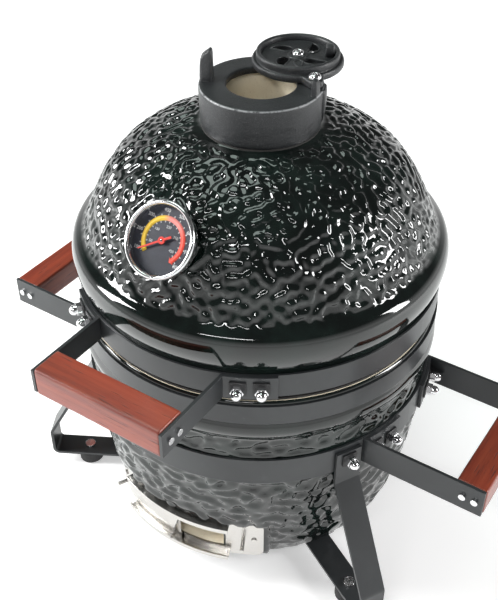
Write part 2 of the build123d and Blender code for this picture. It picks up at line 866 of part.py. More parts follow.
lower_bottom = base_band_bottom + 1
lower_height = base_band_height - 2
with BuildPart() as hinge_lower_bracket:
    add(sector(lower_plate_inner, lower_plate_outer, lower_bottom, lower_height, 170.5, 19))
    add(hinge_ears(lower_ear_inside, lower_plate_outer - 2, lower_bottom, lower_height, eye_radius))
    lower_holes = discs_on(hinge_stud_angles, lower_plate_inner - 5, 12, base_band_middle, hole_radius)
    add(lower_holes, mode=Mode.SUBTRACT)
    add(ring(100, lower_plate_inner, lower_bottom - 1, lower_height + 2), mode=Mode.SUBTRACT)
finish(hinge_lower_bracket, "hinge_lower_bracket")

pin_half = upper_ear_inside + bar_thickness + 3.5
with BuildPart() as hinge_pin:
    with BuildSketch(Plane.YZ.offset(-pin_half)):
        with Locations((hinge_axis_y, hinge_axis_z)):
            Circle(hinge_pin_radius)
    extrude(amount=2 * pin_half)
finish(hinge_pin, "hinge_pin")

with BuildPart() as hinge_pin_clips:
    for side in (-1, 1):
        with BuildSketch(Plane.YZ.offset(side * (pin_half - 3))):
            with Locations((hinge_axis_y, hinge_axis_z)):
                Circle(7)
                Circle(hinge_pin_radius, mode=Mode.SUBTRACT)
        extrude(amount=side * 1.5)
finish(hinge_pin_clips, "hinge_pin_clips")

with BuildPart() as hinge_upper_bolts:
    bolt_length = hinge_plate_outer + stud_reach - lid_band_inner
    add(discs_on(hinge_stud_angles, lid_band_inner, bolt_length, lid_band_middle, stud_radius))
finish(hinge_upper_bolts, "hinge_upper_bolts")

with BuildPart() as hinge_upper_nuts:
    add(cap_nuts(hinge_stud_angles, hinge_plate_outer, lid_band_middle))
finish(hinge_upper_nuts, "hinge_upper_nuts")

with BuildPart() as hinge_lower_bolts:
    bolt_length = lower_plate_outer + stud_reach - base_band_inner
    add(discs_on(hinge_stud_angles, base_band_inner, bolt_length, base_band_middle, stud_radius))
finish(hinge_lower_bolts, "hinge_lower_bolts")

with BuildPart() as hinge_lower_nuts:
    add(cap_nuts(hinge_stud_angles, lower_plate_outer, base_band_middle))
finish(hinge_lower_nuts, "hinge_lower_nuts")

# ---------------------------------------------------------------- draft door
frame_inner = pad_radius + band_clearance
frame_outer = frame_inner + frame_thickness
rail_outer = frame_outer + rail_depth
frame_middle = frame_bottom + frame_height / 2
window_start = 0.5
window_span = 20.5
pin_angle = 27.5
screw_angle = 31.5
with BuildPart() as draft_frame:
    frame_turn = 2 * frame_half_angle
    add(sector(frame_inner, frame_outer, frame_bottom, frame_height, -frame_half_angle, frame_turn))
    corner_edges = draft_frame.edges().filter_by(lambda edge: abs(edge.length - frame_thickness) < 0.01)
    fillet(corner_edges, 6)
    rail_turn = 2 * rail_half_angle
    frame_top = frame_bottom + frame_height
    for ledge, lip in (
        (frame_bottom, frame_bottom),
        (frame_top - rail_thickness, frame_top - rail_lip),
    ):
        add(sector(frame_outer - 0.5, rail_outer, ledge, rail_thickness, -rail_half_angle, rail_turn))
        lip_inner = rail_outer - rail_thickness
        add(sector(lip_inner, rail_outer, lip, rail_lip, -rail_half_angle, rail_turn))
    window = sector(frame_inner - 2, frame_outer + 2, draft_bottom, draft_height, window_start, window_span)
    add(window, mode=Mode.SUBTRACT)
    for angle in (screw_angle, pin_angle):
        frame_holes = discs_on([-angle, angle], frame_inner - 3, 8, frame_middle, 2.1)
        add(frame_holes, mode=Mode.SUBTRACT)
finish(draft_frame, "draft_frame")

with BuildPart() as draft_pins:
    add(discs_on([-pin_angle, pin_angle], frame_inner, 15, frame_middle, 2))
finish(draft_pins, "draft_pins")

with BuildPart() as draft_screws:
    add(discs_on([-screw_angle, screw_angle], frame_inner, frame_thickness, frame_middle, 2))
    add(discs_on([-screw_angle, screw_angle], frame_outer + 0.1, 1.2, frame_middle, 2.8))
    add(discs_on([-screw_angle, screw_angle], frame_outer - 0.1, 0.3, frame_middle, 2))
finish(draft_screws, "draft_screws")

door_inner = frame_outer + 2.0
door_outer = door_inner + door_thickness
door_bottom = frame_bottom + rail_thickness + 0.3
door_height = frame_height - 2 * (rail_thickness + 0.3)
tab_angle = door_start + door_span - 1.0
with BuildPart() as draft_door:
    add(sector(door_inner, door_outer, door_bottom, door_height, door_start, door_span))
    with BuildSketch(meridian(tab_angle)):
        with BuildLine():
            Polyline(
                (door_inner + 0.3, frame_middle + 9),
                (rail_outer + 8, frame_middle - 5),
                (door_inner + 0.3, frame_middle - 9),
                close=True,
            )
        make_face()
    extrude(amount=0.7, both=True)
finish(draft_door, "draft_door")

# ---------------------------------------------------------------- inside the bowl
with BuildPart() as firebox:
    with BuildSketch(Plane.XZ):
        with BuildLine():
            Polyline(
                (70, floor_top),
                (104, floor_top),
                (firebox_radius - 4, 75),
                (firebox_radius, firebox_top),
                (firebox_radius - firebox_wall, firebox_top),
                (firebox_radius - firebox_wall - 2, charcoal_level),
                (90, charcoal_level),
                (70, charcoal_level - 20),
                close=True,
            )
        make_face()
    revolve(axis=Axis.Z)
    add(sector(60, 130, draft_bottom - 1, draft_height, -22, 44), mode=Mode.SUBTRACT)
finish(firebox, "firebox")

with BuildPart() as fire_ring:
    with BuildSketch(Plane.XZ):
        with BuildLine():
            Polyline(
                (firebox_radius - firebox_wall, firebox_top),
                (firebox_radius + 4, firebox_top),
                (ring_radius, ring_top),
                (ring_radius - 11, ring_top),
                close=True,
            )
        make_face()
    revolve(axis=Axis.Z)
finish(fire_ring, "fire_ring")

charcoal_thickness = 7.0
charcoal_radius = firebox_radius - firebox_wall - 4
with BuildPart() as charcoal_grate:
    with BuildSketch(Plane.XY.offset(charcoal_level)):
        Circle(charcoal_radius)
        with GridLocations(18, 62, 9, 3):
            SlotOverall(52, 9, rotation=90, mode=Mode.SUBTRACT)
        Circle(charcoal_radius)
        Circle(charcoal_radius - 8, mode=Mode.SUBTRACT)
    extrude(amount=charcoal_thickness)
finish(charcoal_grate, "charcoal_grate")

grate_radius = 134.0
wire_pitch = 15.0
wires_each_side = 8
with BuildPart() as cooking_grate:
    add(ring(grate_radius - 2 * rim_wire_radius, grate_radius, ring_top, 2 * rim_wire_radius))
    for index in range(-wires_each_side, wires_each_side + 1):
        wire_x = index * wire_pitch
        half = math.sqrt((grate_radius - rim_wire_radius) ** 2 - wire_x**2) + wire_overlap
        with BuildSketch(Plane.XZ.offset(-half)):
            with Locations((wire_x, ring_top + rim_wire_radius)):
                Circle(wire_radius)
        extrude(amount=2 * half)
    for brace_y in (-55, 55):
        half = math.sqrt((grate_radius - rim_wire_radius) ** 2 - brace_y**2) + wire_overlap
        with BuildSketch(Plane.YZ.offset(-half)):
            with Locations((brace_y, ring_top + rim_wire_radius + 1.5)):
                Circle(wire_radius)
        extrude(amount=2 * half)
finish(cooking_grate, "cooking_grate")
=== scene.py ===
"""Looks of a small ceramic kamado grill: glazed shells with a raised worm relief,
cast vent, thermometer dial, wooden grips, and finishes for the steel parts.

Everything is in metres in the part's own frame: the thermometer faces -Y, the hinge
is at +Y and the ground is z = 0.  Angles round the grill start at the front and run
towards +X, so a point is (r sin a, -r cos a, z).
"""

import json
import math

import bmesh
import bpy
import numpy as np
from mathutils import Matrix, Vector


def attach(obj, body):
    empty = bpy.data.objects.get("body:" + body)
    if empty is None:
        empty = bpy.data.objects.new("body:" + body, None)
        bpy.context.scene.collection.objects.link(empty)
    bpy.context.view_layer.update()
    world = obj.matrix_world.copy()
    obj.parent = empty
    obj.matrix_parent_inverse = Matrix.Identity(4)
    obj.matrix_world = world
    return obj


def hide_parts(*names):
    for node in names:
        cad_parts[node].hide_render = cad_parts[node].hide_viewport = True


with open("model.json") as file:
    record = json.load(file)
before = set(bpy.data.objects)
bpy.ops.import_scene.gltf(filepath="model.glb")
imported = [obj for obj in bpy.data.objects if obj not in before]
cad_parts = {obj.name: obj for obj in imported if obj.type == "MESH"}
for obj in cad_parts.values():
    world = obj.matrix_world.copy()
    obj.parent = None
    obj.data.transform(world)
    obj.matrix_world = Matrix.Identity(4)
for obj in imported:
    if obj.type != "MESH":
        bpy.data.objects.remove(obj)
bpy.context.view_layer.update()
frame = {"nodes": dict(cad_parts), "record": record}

MM = 0.001
FULL_TURN = 2 * math.pi

# Sizes shared with the frame, in millimetres
COLLAR_RIM_RADIUS = 51.3
PIVOT_ANGLE = 24.2
CATCH_ANGLE = 204.2
STOP_ANGLE = 6.0
FIRST_SLOT = -12.0
KNOB_ANGLE = 30.0
PAD_RADIUS = 148.0
THERMOMETER_CENTRE = np.array([0.0, -134.6, 383.0])
THERMOMETER_TILT = math.radians(37.6)
CAP_CENTRE = np.array([6.70, 46.20])
CAP_PIVOT = np.array([39.68, 17.83])
COLLAR_TOP = 463.0
DOME_TOP = 427.0


# ------------------------------------------------------------------ meshes
def mesh_object(name, points_mm, faces, materials, face_material=None):
    """A smooth-shaded mesh from points in millimetres and equal-sided faces."""
    points = np.asarray(points_mm, dtype=np.float64) * MM
    mesh = bpy.data.meshes.new(name)
    mesh.from_pydata(points, [], faces)
    mesh.polygons.foreach_set("use_smooth", np.ones(len(mesh.polygons), dtype=bool))
    for material in materials:
        mesh.materials.append(material)
    if face_material is not None:
        mesh.polygons.foreach_set("material_index", np.asarray(face_material, dtype=np.int32))
    mesh.update()
    made = bpy.data.objects.new(name, mesh)
    bpy.context.scene.collection.objects.link(made)
    return made


def grid_faces(rows, columns, wrap_rows=False, wrap_columns=True, offset=0):
    """Quads over a rows-by-columns grid, numbered row by row."""
    last_row = rows if wrap_rows else rows - 1
    last_column = columns if wrap_columns else columns - 1
    row = np.arange(last_row)[:, None]
    column = np.arange(last_column)[None, :]
    next_row = (row + 1) % rows
    next_column = (column + 1) % columns
    corners = np.stack(
        np.broadcast_arrays(
            row * columns + column,
            row * columns + next_column,
            next_row * columns + next_column,
            next_row * columns + column,
        ),
        axis=-1,
    )
    return corners.reshape(-1, 4) + offset


def closed_tube(points):
    """Faces of a tube of rings, rows by columns, its ends closed by fans to a centre point."""
    rows, columns = points.shape[:2]
    body = grid_faces(rows, columns)
    flat = points.reshape(-1, 3)
    ends = np.stack([points[0].mean(axis=0), points[-1].mean(axis=0)])
    column = np.arange(columns)
    following = (column + 1) % columns
    first, last = rows * columns, rows * columns + 1
    start_fan = np.stack([following, column, np.full(columns, first)], axis=1)
    base = (rows - 1) * columns
    end_fan = np.stack([base + column, base + following, np.full(columns, last)], axis=1)
    faces = body.tolist() + start_fan.tolist() + end_fan.tolist()
    return np.concatenate([flat, ends]), faces


def smooth_path(points, samples_per_leg=24):
    """Points along a curve that passes smoothly through the given (radius, height) points.

    Each leg is a cubic whose end slopes follow the neighbouring points, weighted by their
    distance, so close pairs of points give a tight rounded corner."""
    given = np.asarray(points, dtype=float)
    padded = np.concatenate([2 * given[:1] - given[1:2], given, 2 * given[-1:] - given[-2:-1]])
    step = np.sqrt(np.linalg.norm(np.diff(padded, axis=0), axis=1)) + 1e-9
    d0, d1, d2 = step[:-2, None], step[1:-1, None], step[2:, None]
    p0, p1, p2, p3 = padded[:-3], padded[1:-2], padded[2:-1], padded[3:]
    slope_start = (p1 - p0) / d0 - (p2 - p0) / (d0 + d1) + (p2 - p1) / d1
    slope_end = (p2 - p1) / d1 - (p3 - p1) / (d1 + d2) + (p3 - p2) / d2
    t = np.linspace(0, 1, samples_per_leg, endpoint=False)[None, :, None]
    m0 = (slope_start * d1)[:, None]
    m1 = (slope_end * d1)[:, None]
    a, b = p1[:, None], p2[:, None]
    curve = (
        (2 * t**3 - 3 * t**2 + 1) * a
        + (t**3 - 2 * t**2 + t) * m0
        + (3 * t**2 - 2 * t**3) * b
        + (t**3 - t**2) * m1
    )
    return np.concatenate([curve.reshape(-1, 2), given[-1:]])


def along(path, start, end, count):
    """Count points spread evenly along a path between two fractions of its length."""
    leg = np.linalg.norm(np.diff(path, axis=0), axis=1)
    run = np.concatenate([[0], np.cumsum(leg)])
    want = np.linspace(start, end, count) * run[-1]
    return np.stack([np.interp(want, run, path[:, 0]), np.interp(want, run, path[:, 1])], axis=1)


def right_hand_of(profile):
    """Unit normals on the right-hand side of a profile's run."""
    ahead = np.gradient(profile, axis=0)
    ahead = ahead / np.maximum(np.linalg.norm(ahead, axis=1, keepdims=True), 1e-9)
    return np.stack([ahead[:, 1], -ahead[:, 0]], axis=1)


def turned(profile, columns):
    """Points of a profile turned round the Z axis: rows by columns by (x, y, z)."""
    angle = np.arange(columns) * FULL_TURN / columns
    radius = profile[:, 0][:, None]
    return np.stack(
        [
            radius * np.sin(angle),
            -radius * np.cos(angle),
            np.repeat(profile[:, 1][:, None], columns, axis=1),
        ],
        axis=-1,
    )


def ramp(value, low, high):
    """Smooth step from 0 at low to 1 at high."""
    t = np.clip((value - low) / (high - low), 0, 1)
    return t * t * (3 - 2 * t)


def worm_relief(points, seed, wave_mm, flatten):
    """Height from -1 to 1 of a labyrinth of raised worms with steep sides and flat tops.

    It is a sum of many plane waves of nearly one length and random direction, pushed
    through a tanh so that crests and valleys become plateaus.  flatten stretches the
    waves sideways, which makes the worms run round the grill."""
    rng = np.random.default_rng(seed)
    waves = 64
    direction = rng.normal(size=(waves, 3))
    direction /= np.linalg.norm(direction, axis=1, keepdims=True)
    length = wave_mm * rng.uniform(0.88, 1.14, size=(waves, 1))
    number = direction * FULL_TURN / length
    number[:, :2] *= flatten
    phase = rng.uniform(0, FULL_TURN, size=waves)
    total = np.zeros(len(points))
    for wave, shift in zip(number, phase):
        total += np.cos(points @ wave + shift)
    return np.tanh(1.9 * total * math.sqrt(2 / waves))


# ------------------------------------------------------------------ paints
class Value:
    """A shader socket that Python sums can use."""

    def __init__(self, tree, socket):
        self.tree = tree
        self.socket = socket

    def sum(self, kind, first, second):
        node = self.tree.nodes.new("ShaderNodeMath")
        node.operation = kind
        for place, term in enumerate((first, second)):
            if isinstance(term, Value):
                self.tree.links.new(term.socket, node.inputs[place])
            else:
                node.inputs[place].default_value = term
        return Value(self.tree, node.outputs[0])

    def __add__(self, other):
        return self.sum("ADD", self, other)

    def __radd__(self, other):
        return self.sum("ADD", other, self)

    def __sub__(self, other):
        return self.sum("SUBTRACT", self, other)

    def __rsub__(self, other):
        return self.sum("SUBTRACT", other, self)

    def __mul__(self, other):
        return self.sum("MULTIPLY", self, other)

    def __rmul__(self, other):
        return self.sum("MULTIPLY", other, self)

    def __truediv__(self, other):
        return self.sum("DIVIDE", self, other)

    def __rtruediv__(self, other):
        return self.sum("DIVIDE", other, self)

    def __pow__(self, other):
        return self.sum("POWER", self, other)

    def __abs__(self):
        return self.sum("ABSOLUTE", self, 0.0)

    def clipped(self):
        return self.sum("MINIMUM", self.sum("MAXIMUM", self, 0.0), 1.0)


class Paint:
    """One material while its nodes are being laid out."""

    def __init__(self, name):
        self.material = bpy.data.materials.new(name)
        self.material.use_nodes = True
        self.tree = self.material.node_tree
        self.shader = self.tree.nodes["Principled BSDF"]
        self.place = self.add("ShaderNodeTexCoord", output="Object")

    def add(self, kind, settings=None, inputs=None, output=0):
        """Adds any node: its settings first, then its inputs by name or number."""
        node = self.tree.nodes.new(kind)
        for name, value in (settings or {}).items():
            setattr(node, name, value)
        for key, value in (inputs or {}).items():
            self.feed(node.inputs[key], value)
        return Value(self.tree, node.outputs[output])

    def feed(self, socket, value):
        if isinstance(value, Value):
            self.tree.links.new(value.socket, socket)
        else:
            socket.default_value = value

    def axis(self, letter, place=None):
        return self.add("ShaderNodeSeparateXYZ", inputs={0: place or self.place}, output=letter)

    def stretched(self, x, y, z):
        return self.add(
            "ShaderNodeVectorMath", {"operation": "MULTIPLY"}, {0: self.place, 1: (x, y, z)}
        )

    def noise(self, scale, detail=3.0, stretch=(1, 1, 1), rough=0.55, warp=0.0):
        place = self.stretched(*stretch)
        inputs = {
            "Vector": place,
            "Scale": scale,
            "Detail": detail,
            "Roughness": rough,
            "Distortion": warp,
        }
        return self.add("ShaderNodeTexNoise", inputs=inputs, output="Fac")

    def spread(self, value, low, high):
        """Stretches value so that low becomes 0 and high becomes 1, clipped."""
        return ((value - low) / (high - low)).clipped()

    def mix(self, factor, first, second):
        return self.add(
            "ShaderNodeMix",
            {"data_type": "RGBA"},
            {0: factor, 6: opaque(first), 7: opaque(second)},
            output=2,
        )

    def bump(self, height, depth_mm, edge_mm=0.0):
        """Normal from a height, laid on edges that are rounded off by edge_mm."""
        inputs = {"Strength": 1.0, "Distance": depth_mm * MM, "Height": height}
        if edge_mm:
            inputs["Normal"] = self.add(
                "ShaderNodeBevel", {"samples": 6}, {"Radius": edge_mm * MM}, output="Normal"
            )
        return self.add("ShaderNodeBump", inputs=inputs, output="Normal")

    def finish(self, **inputs):
        names = {
            "color": "Base Color",
            "rough": "Roughness",
            "metal": "Metallic",
            "coat": "Coat Weight",
            "coat_rough": "Coat Roughness",
            "normal": "Normal",
            "coat_normal": "Coat Normal",
            "ior": "IOR",
            "alpha": "Alpha",
        }
        for key, value in inputs.items():
            self.feed(self.shader.inputs[names[key]], opaque(value) if key == "color" else value)
        return self.material


def opaque(color):
    """A colour triple with full cover, or a shader value as it is."""
    return (*color, 1.0) if isinstance(color, tuple) else color


def glaze_paint():
    """Deep green-black glaze with a wet gloss and fine orange peel."""
    p = Paint("green_black_glaze")
    cloud = p.noise(28, 4)
    fine = p.noise(900, 2)
    thin = p.spread(cloud, 0.42, 0.66)
    color = p.mix(thin, (0.0022, 0.0042, 0.0036), (0.006, 0.012, 0.010))
    freckle = p.spread(p.noise(260, 2), 0.66, 0.74) * 0.35
    color = p.mix(freckle, color, (0.012, 0.016, 0.014))
    rough = 0.035 + cloud * 0.035 + fine * 0.02
    normal = p.bump(fine + 2.0 * p.noise(240, 2), 0.012)
    return p.finish(color=color, rough=rough, coat=0.35, coat_rough=0.03, ior=1.52, normal=normal)


def clay_paint():
    """Sandy cream ceramic, unglazed, with grit and faint soot."""
    p = Paint("sandy_ceramic")
    grit = p.noise(700, 4)
    patch = p.noise(22, 3)
    color = p.mix(p.spread(patch, 0.3, 0.7), (0.88, 0.77, 0.58), (0.94, 0.87, 0.70))
    color = p.mix(p.spread(grit, 0.58, 0.75) * 0.4, color, (0.55, 0.43, 0.28))
    return p.finish(color=color, rough=0.78 + grit * 0.15, normal=p.bump(grit, 0.18))


def band_paint():
    """Satin dark grey powder coat: fine texture, dusty patches, lighter rubbed spots."""
    p = Paint("satin_grey_coat")
    orange = p.noise(1500, 2)
    patch = p.noise(18, 4, warp=0.4)
    rubbed = p.spread(p.noise(70, 5), 0.64, 0.78) * 0.5
    color = p.mix(p.spread(patch, 0.3, 0.7), (0.022, 0.024, 0.026), (0.034, 0.037, 0.039))
    color = p.mix(rubbed, color, (0.055, 0.058, 0.06))
    rough = 0.27 + patch * 0.12 + rubbed * 0.1
    return p.finish(color=color, rough=rough, ior=1.5, normal=p.bump(orange, 0.02, 0.5))


def wood_paint(name, grain_axis):
    """Oiled red hardwood.  The grain runs along one axis: long streaks, rings that
    wander across the section, dark pores and a soft sheen."""
    p = Paint(name)
    stretch = [1.0, 1.0, 1.0]
    stretch[grain_axis] = 0.06
    stretch = tuple(stretch)
    wander = p.noise(40, 4, stretch, warp=0.6)
    streak = p.noise(230, 5, stretch, rough=0.65)
    fibre = p.noise(1100, 3, stretch)
    pore = p.spread(p.noise(620, 2, stretch), 0.62, 0.72)
    color = p.mix(p.spread(wander, 0.32, 0.68), (0.115, 0.013, 0.006), (0.26, 0.036, 0.014))
    color = p.mix(p.spread(streak, 0.38, 0.7) * 0.6, color, (0.34, 0.062, 0.024))
    color = p.mix(pore * 0.65, color, (0.03, 0.005, 0.003))
    rough = 0.30 + fibre * 0.16 + pore * 0.2
    height = fibre + streak * 0.8 - pore * 1.4
    normal = p.bump(height, 0.08)
    return p.finish(color=color, rough=rough, coat=0.35, coat_rough=0.18, normal=normal)


def bright_paint(name, rough_low, tone, edge_mm):
    """Polished metal with faint turning marks and finger haze."""
    p = Paint(name)
    haze = p.noise(160, 4)
    scratch = p.noise(500, 3, (1, 1, 9))
    color = p.mix(p.spread(haze, 0.35, 0.7), tone, tuple(c * 0.82 for c in tone))
    rough = rough_low + haze * 0.09 + scratch * 0.05
    normal = p.bump(scratch, 0.006, edge_mm)
    return p.finish(color=color, rough=rough, metal=1.0, normal=normal)


def iron_paint():
    """Sand-cast iron with a satin dark coat and fine flecks, and a bright rubbed line
    round the collar's top edge."""
    p = Paint("sand_cast_iron")
    grain = p.noise(1100, 4, rough=0.7)
    patch = p.noise(35, 4)
    fleck = p.spread(p.noise(1300, 2), 0.56, 0.70) * 0.55
    color = p.mix(p.spread(patch, 0.3, 0.7), (0.010, 0.011, 0.012), (0.022, 0.024, 0.026))
    color = p.mix(fleck, color, (0.085, 0.09, 0.095))
    x, y, z = p.axis("X"), p.axis("Y"), p.axis("Z")
    radius = (x * x + y * y) ** 0.5
    from_edge = abs(radius - COLLAR_RIM_RADIUS * MM) + abs(z - (COLLAR_TOP - 0.7) * MM)
    on_edge = 1.0 - from_edge / (1.5 * MM)
    worn = on_edge.clipped() * p.spread(p.noise(300, 3), 0.3, 0.5) * 0.75
    color = p.mix(worn, color, (0.42, 0.43, 0.44))
    lumps = p.noise(420, 3)
    rough = 0.28 + grain * 0.2 + patch * 0.08 - worn * 0.1
    return p.finish(color=color, rough=rough, normal=p.bump(grain + lumps * 1.4, 0.13, 0.6))


def brushed_paint(name, tone, rough_low):
    """Brushed stainless steel: lines that run round the grill, faint heat tint."""
    p = Paint(name)
    lines = p.noise(60, 4, (1, 1, 60), rough=0.7)
    patch = p.noise(30, 3)
    tint = p.spread(patch, 0.55, 0.75) * 0.3
    color = p.mix(tint, tone, (tone[0], tone[1] * 0.93, tone[2] * 0.82))
    color = p.mix(p.spread(lines, 0.5, 0.8) * 0.25, color, (0.38, 0.37, 0.36))
    rough = rough_low + lines * 0.14 + patch * 0.05
    return p.finish(color=color, rough=rough, metal=1.0, normal=p.bump(lines, 0.012, 0.3))


def plain_paint(name, dark, light, rough_low, scale, depth_mm, ior=1.5):
    """A mottled, grainy finish for small matt pieces."""
    p = Paint(name)
    grain = p.noise(scale, 4, rough=0.65)
    patch = p.noise(scale / 12, 3)
    dust = p.spread(p.noise(scale / 3, 3), 0.6, 0.75) * 0.4
    color = p.mix(p.spread(patch, 0.3, 0.7), dark, light)
    color = p.mix(dust, color, tuple(c * 1.5 + 0.01 for c in light))
    rough = rough_low + grain * 0.18
    return p.finish(color=color, rough=rough, ior=ior, normal=p.bump(grain, depth_mm, 0.3))


def glass_paint():
    """Clear flat glass: mostly see-through, a little mirror, a few dust specks."""
    p = Paint("dial_glass_clear")
    tree = p.tree
    clear = tree.nodes.new("ShaderNodeBsdfTransparent")
    mirror = tree.nodes.new("ShaderNodeBsdfGlossy")
    mirror.inputs["Roughness"].default_value = 0.03
    both = tree.nodes.new("ShaderNodeMixShader")
    smear = p.spread(p.noise(220, 4), 0.55, 0.8)
    p.feed(both.inputs[0], 0.035 + smear * 0.03)
    tree.links.new(clear.outputs[0], both.inputs[1])
    tree.links.new(mirror.outputs[0], both.inputs[2])
    tree.links.new(both.outputs[0], tree.nodes["Material Output"].inputs[0])
    return p.material


def scale_paint():
    """The dial's coloured band: yellow, then pink, then red, by the mesh's own warmth value."""
    p = Paint("scale_colours")
    warmth = p.add("ShaderNodeAttribute", {"attribute_name": "warmth"}, output="Fac")
    grain = p.noise(1800, 2)
    color = p.mix(p.spread(warmth, 0.42, 0.5), (0.85, 0.55, 0.03), (0.86, 0.26, 0.24))
    color = p.mix(p.spread(warmth, 0.6, 0.75), color, (0.82, 0.05, 0.025))
    color = p.mix(grain * 0.15, color, (0.3, 0.2, 0.1))
    return p.finish(color=color, rough=0.45 + grain * 0.1, normal=p.bump(grain, 0.01))


GLAZE = glaze_paint()
CLAY = clay_paint()
BAND = band_paint()
WOOD_ACROSS = wood_paint("red_wood_front", 0)
WOOD_ALONG = wood_paint("red_wood_sides", 1)
CHROME = bright_paint("chrome_hardware", 0.06, (0.82, 0.82, 0.83), 0.5)
BEZEL = bright_paint("polished_bezel", 0.07, (0.80, 0.80, 0.81), 0.0)
IRON = iron_paint()
DRAFT_STEEL = brushed_paint("draft_steel_brushed", (0.60, 0.585, 0.56), 0.16)
GRATE_STEEL = brushed_paint("grate_steel_wire", (0.60, 0.60, 0.58), 0.3)
FELT = plain_paint("charcoal_felt", (0.022, 0.021, 0.020), (0.04, 0.039, 0.037), 0.8, 900, 0.4)
BLACK_COAT = plain_paint(
    "black_washer_coat", (0.010, 0.010, 0.011), (0.02, 0.02, 0.021), 0.4, 900, 0.03
)
RUBBER = plain_paint("foot_rubber", (0.012, 0.012, 0.012), (0.025, 0.025, 0.026), 0.62, 700, 0.08)
DIAL = plain_paint(
    "dial_blue_black", (0.010, 0.012, 0.022), (0.016, 0.019, 0.034), 0.35, 1500, 0.01
)
NEEDLE = plain_paint("needle_red_enamel", (0.62, 0.02, 0.01), (0.75, 0.04, 0.02), 0.3, 1200, 0.01)
PRINT = plain_paint("white_print", (0.70, 0.70, 0.70), (0.82, 0.82, 0.82), 0.5, 1500, 0.005)
SCALE = scale_paint()
GLASS = glass_paint()

SLOT_PAINT = {
    "glaze": GLAZE,
    "felt": FELT,
    "band_paint": BAND,
    "wood": WOOD_ALONG,
    "bright_screws": CHROME,
    "black_washer": BLACK_COAT,
    "rubber": RUBBER,
    "bezel_steel": BEZEL,
    "dial_face": DIAL,
    "dial_glass": GLASS,
    "needle_red": NEEDLE,
    "cast_iron": IRON,
    "draft_steel": DRAFT_STEEL,
    "grate_steel": GRATE_STEEL,
    "inner_ceramic": CLAY,
}
for part in frame["record"]["subparts"]:
    node_mesh = frame["nodes"][part["node"]].data
    node_mesh.materials.clear()
    node_mesh.materials.append(SLOT_PAINT[part["material_slot"]])


# ------------------------------------------------------------------ ceramic shells
def relief_on(profile, outward, columns, fade, seed, wave_mm, depth_mm, flatten):
    """Turned profile whose surface is pushed along its outward normals by the worm relief.

    fade holds the share of relief for every row; valleys go deepest, so that the
    glaze hardly rises over the plain surface."""
    points = turned(profile, columns)
    normal = turned(outward, columns)
    relief = worm_relief(points.reshape(-1, 3), seed, wave_mm, flatten)
    height = (relief.reshape(points.shape[:2]) - 0.55) * depth_mm
    return points + normal * (height * fade[:, None])[..., None]


def lid_shell():
    """The lid: a closed profile of outer dome, rim bead, seat, inner dome and chimney,
    turned round the axis.  The dome carries the worm relief."""
    outer = [
        (47.5, 456.0), (47.5, 440), (47.5, 430), (48.5, DOME_TOP + 0.2), (56, DOME_TOP - 0.2),
        (62, 426.2), (79.5, 421.1), (96.8, 412.9), (110.5, 405.0), (122.2, 396),
        (130.6, 386.5), (137.6, 376), (144.1, 365), (149.7, 353), (154.8, 341.5),
        (158.6, 333.2), (160.3, 331.6), (163.0, 330.9),
        (166.8, 327.6), (169.2, 322.3), (170, 316), (169.3, 308), (167.2, 300.5), (164.5, 294.3),
        (164.2, 290), (164.2, 270), (164.1, 266.8), (163.7, 265.2), (162.0, 264.35),
    ]
    inner = [
        (155, 264.3), (144.5, 264.3), (143.2, 265.4), (143, 268), (143, 316), (136, 346),
        (121, 374), (96, 394), (60, 405), (35, 410.5), (32.4, 414), (32, 418), (32, 450),
        (32.4, 455.6), (34, 456.6), (46, 456.7), (47.3, 456.5),
    ]
    columns = 600
    dome_rows = 112
    path = smooth_path(outer)
    cut = int(np.argmin(np.linalg.norm(path - (56, DOME_TOP - 0.2), axis=1)))
    end = int(np.argmin(np.linalg.norm(path - (158.6, 333.2), axis=1)))
    neck = along(path[: cut + 1], 0, 1, 6)[:-1]
    dome = along(path[cut : end + 1], 0, 1, dome_rows)[:-1]
    rim = along(path[end:], 0, 1, 24)
    inside = along(smooth_path(inner), 0, 1, 24)
    profile = np.concatenate([neck, dome, rim, inside])
    fade = np.zeros(len(profile))
    height = dome[:, 1]
    fade[len(neck) : len(neck) + len(dome)] = ramp(dome[:, 0], 56, 62) * ramp(height, 332.5, 338)
    points = relief_on(profile, -right_hand_of(profile), columns, fade, 11, 9.2, 0.95, 1.0)
    faces = grid_faces(len(profile), columns, wrap_rows=True)
    row = np.repeat(np.arange(len(profile)), columns)
    clay_row = len(neck) + len(dome) + len(rim) + 2
    return mesh_object(
        "lid_glazed_shell", points.reshape(-1, 3), faces, [GLAZE, CLAY], row >= clay_row
    )


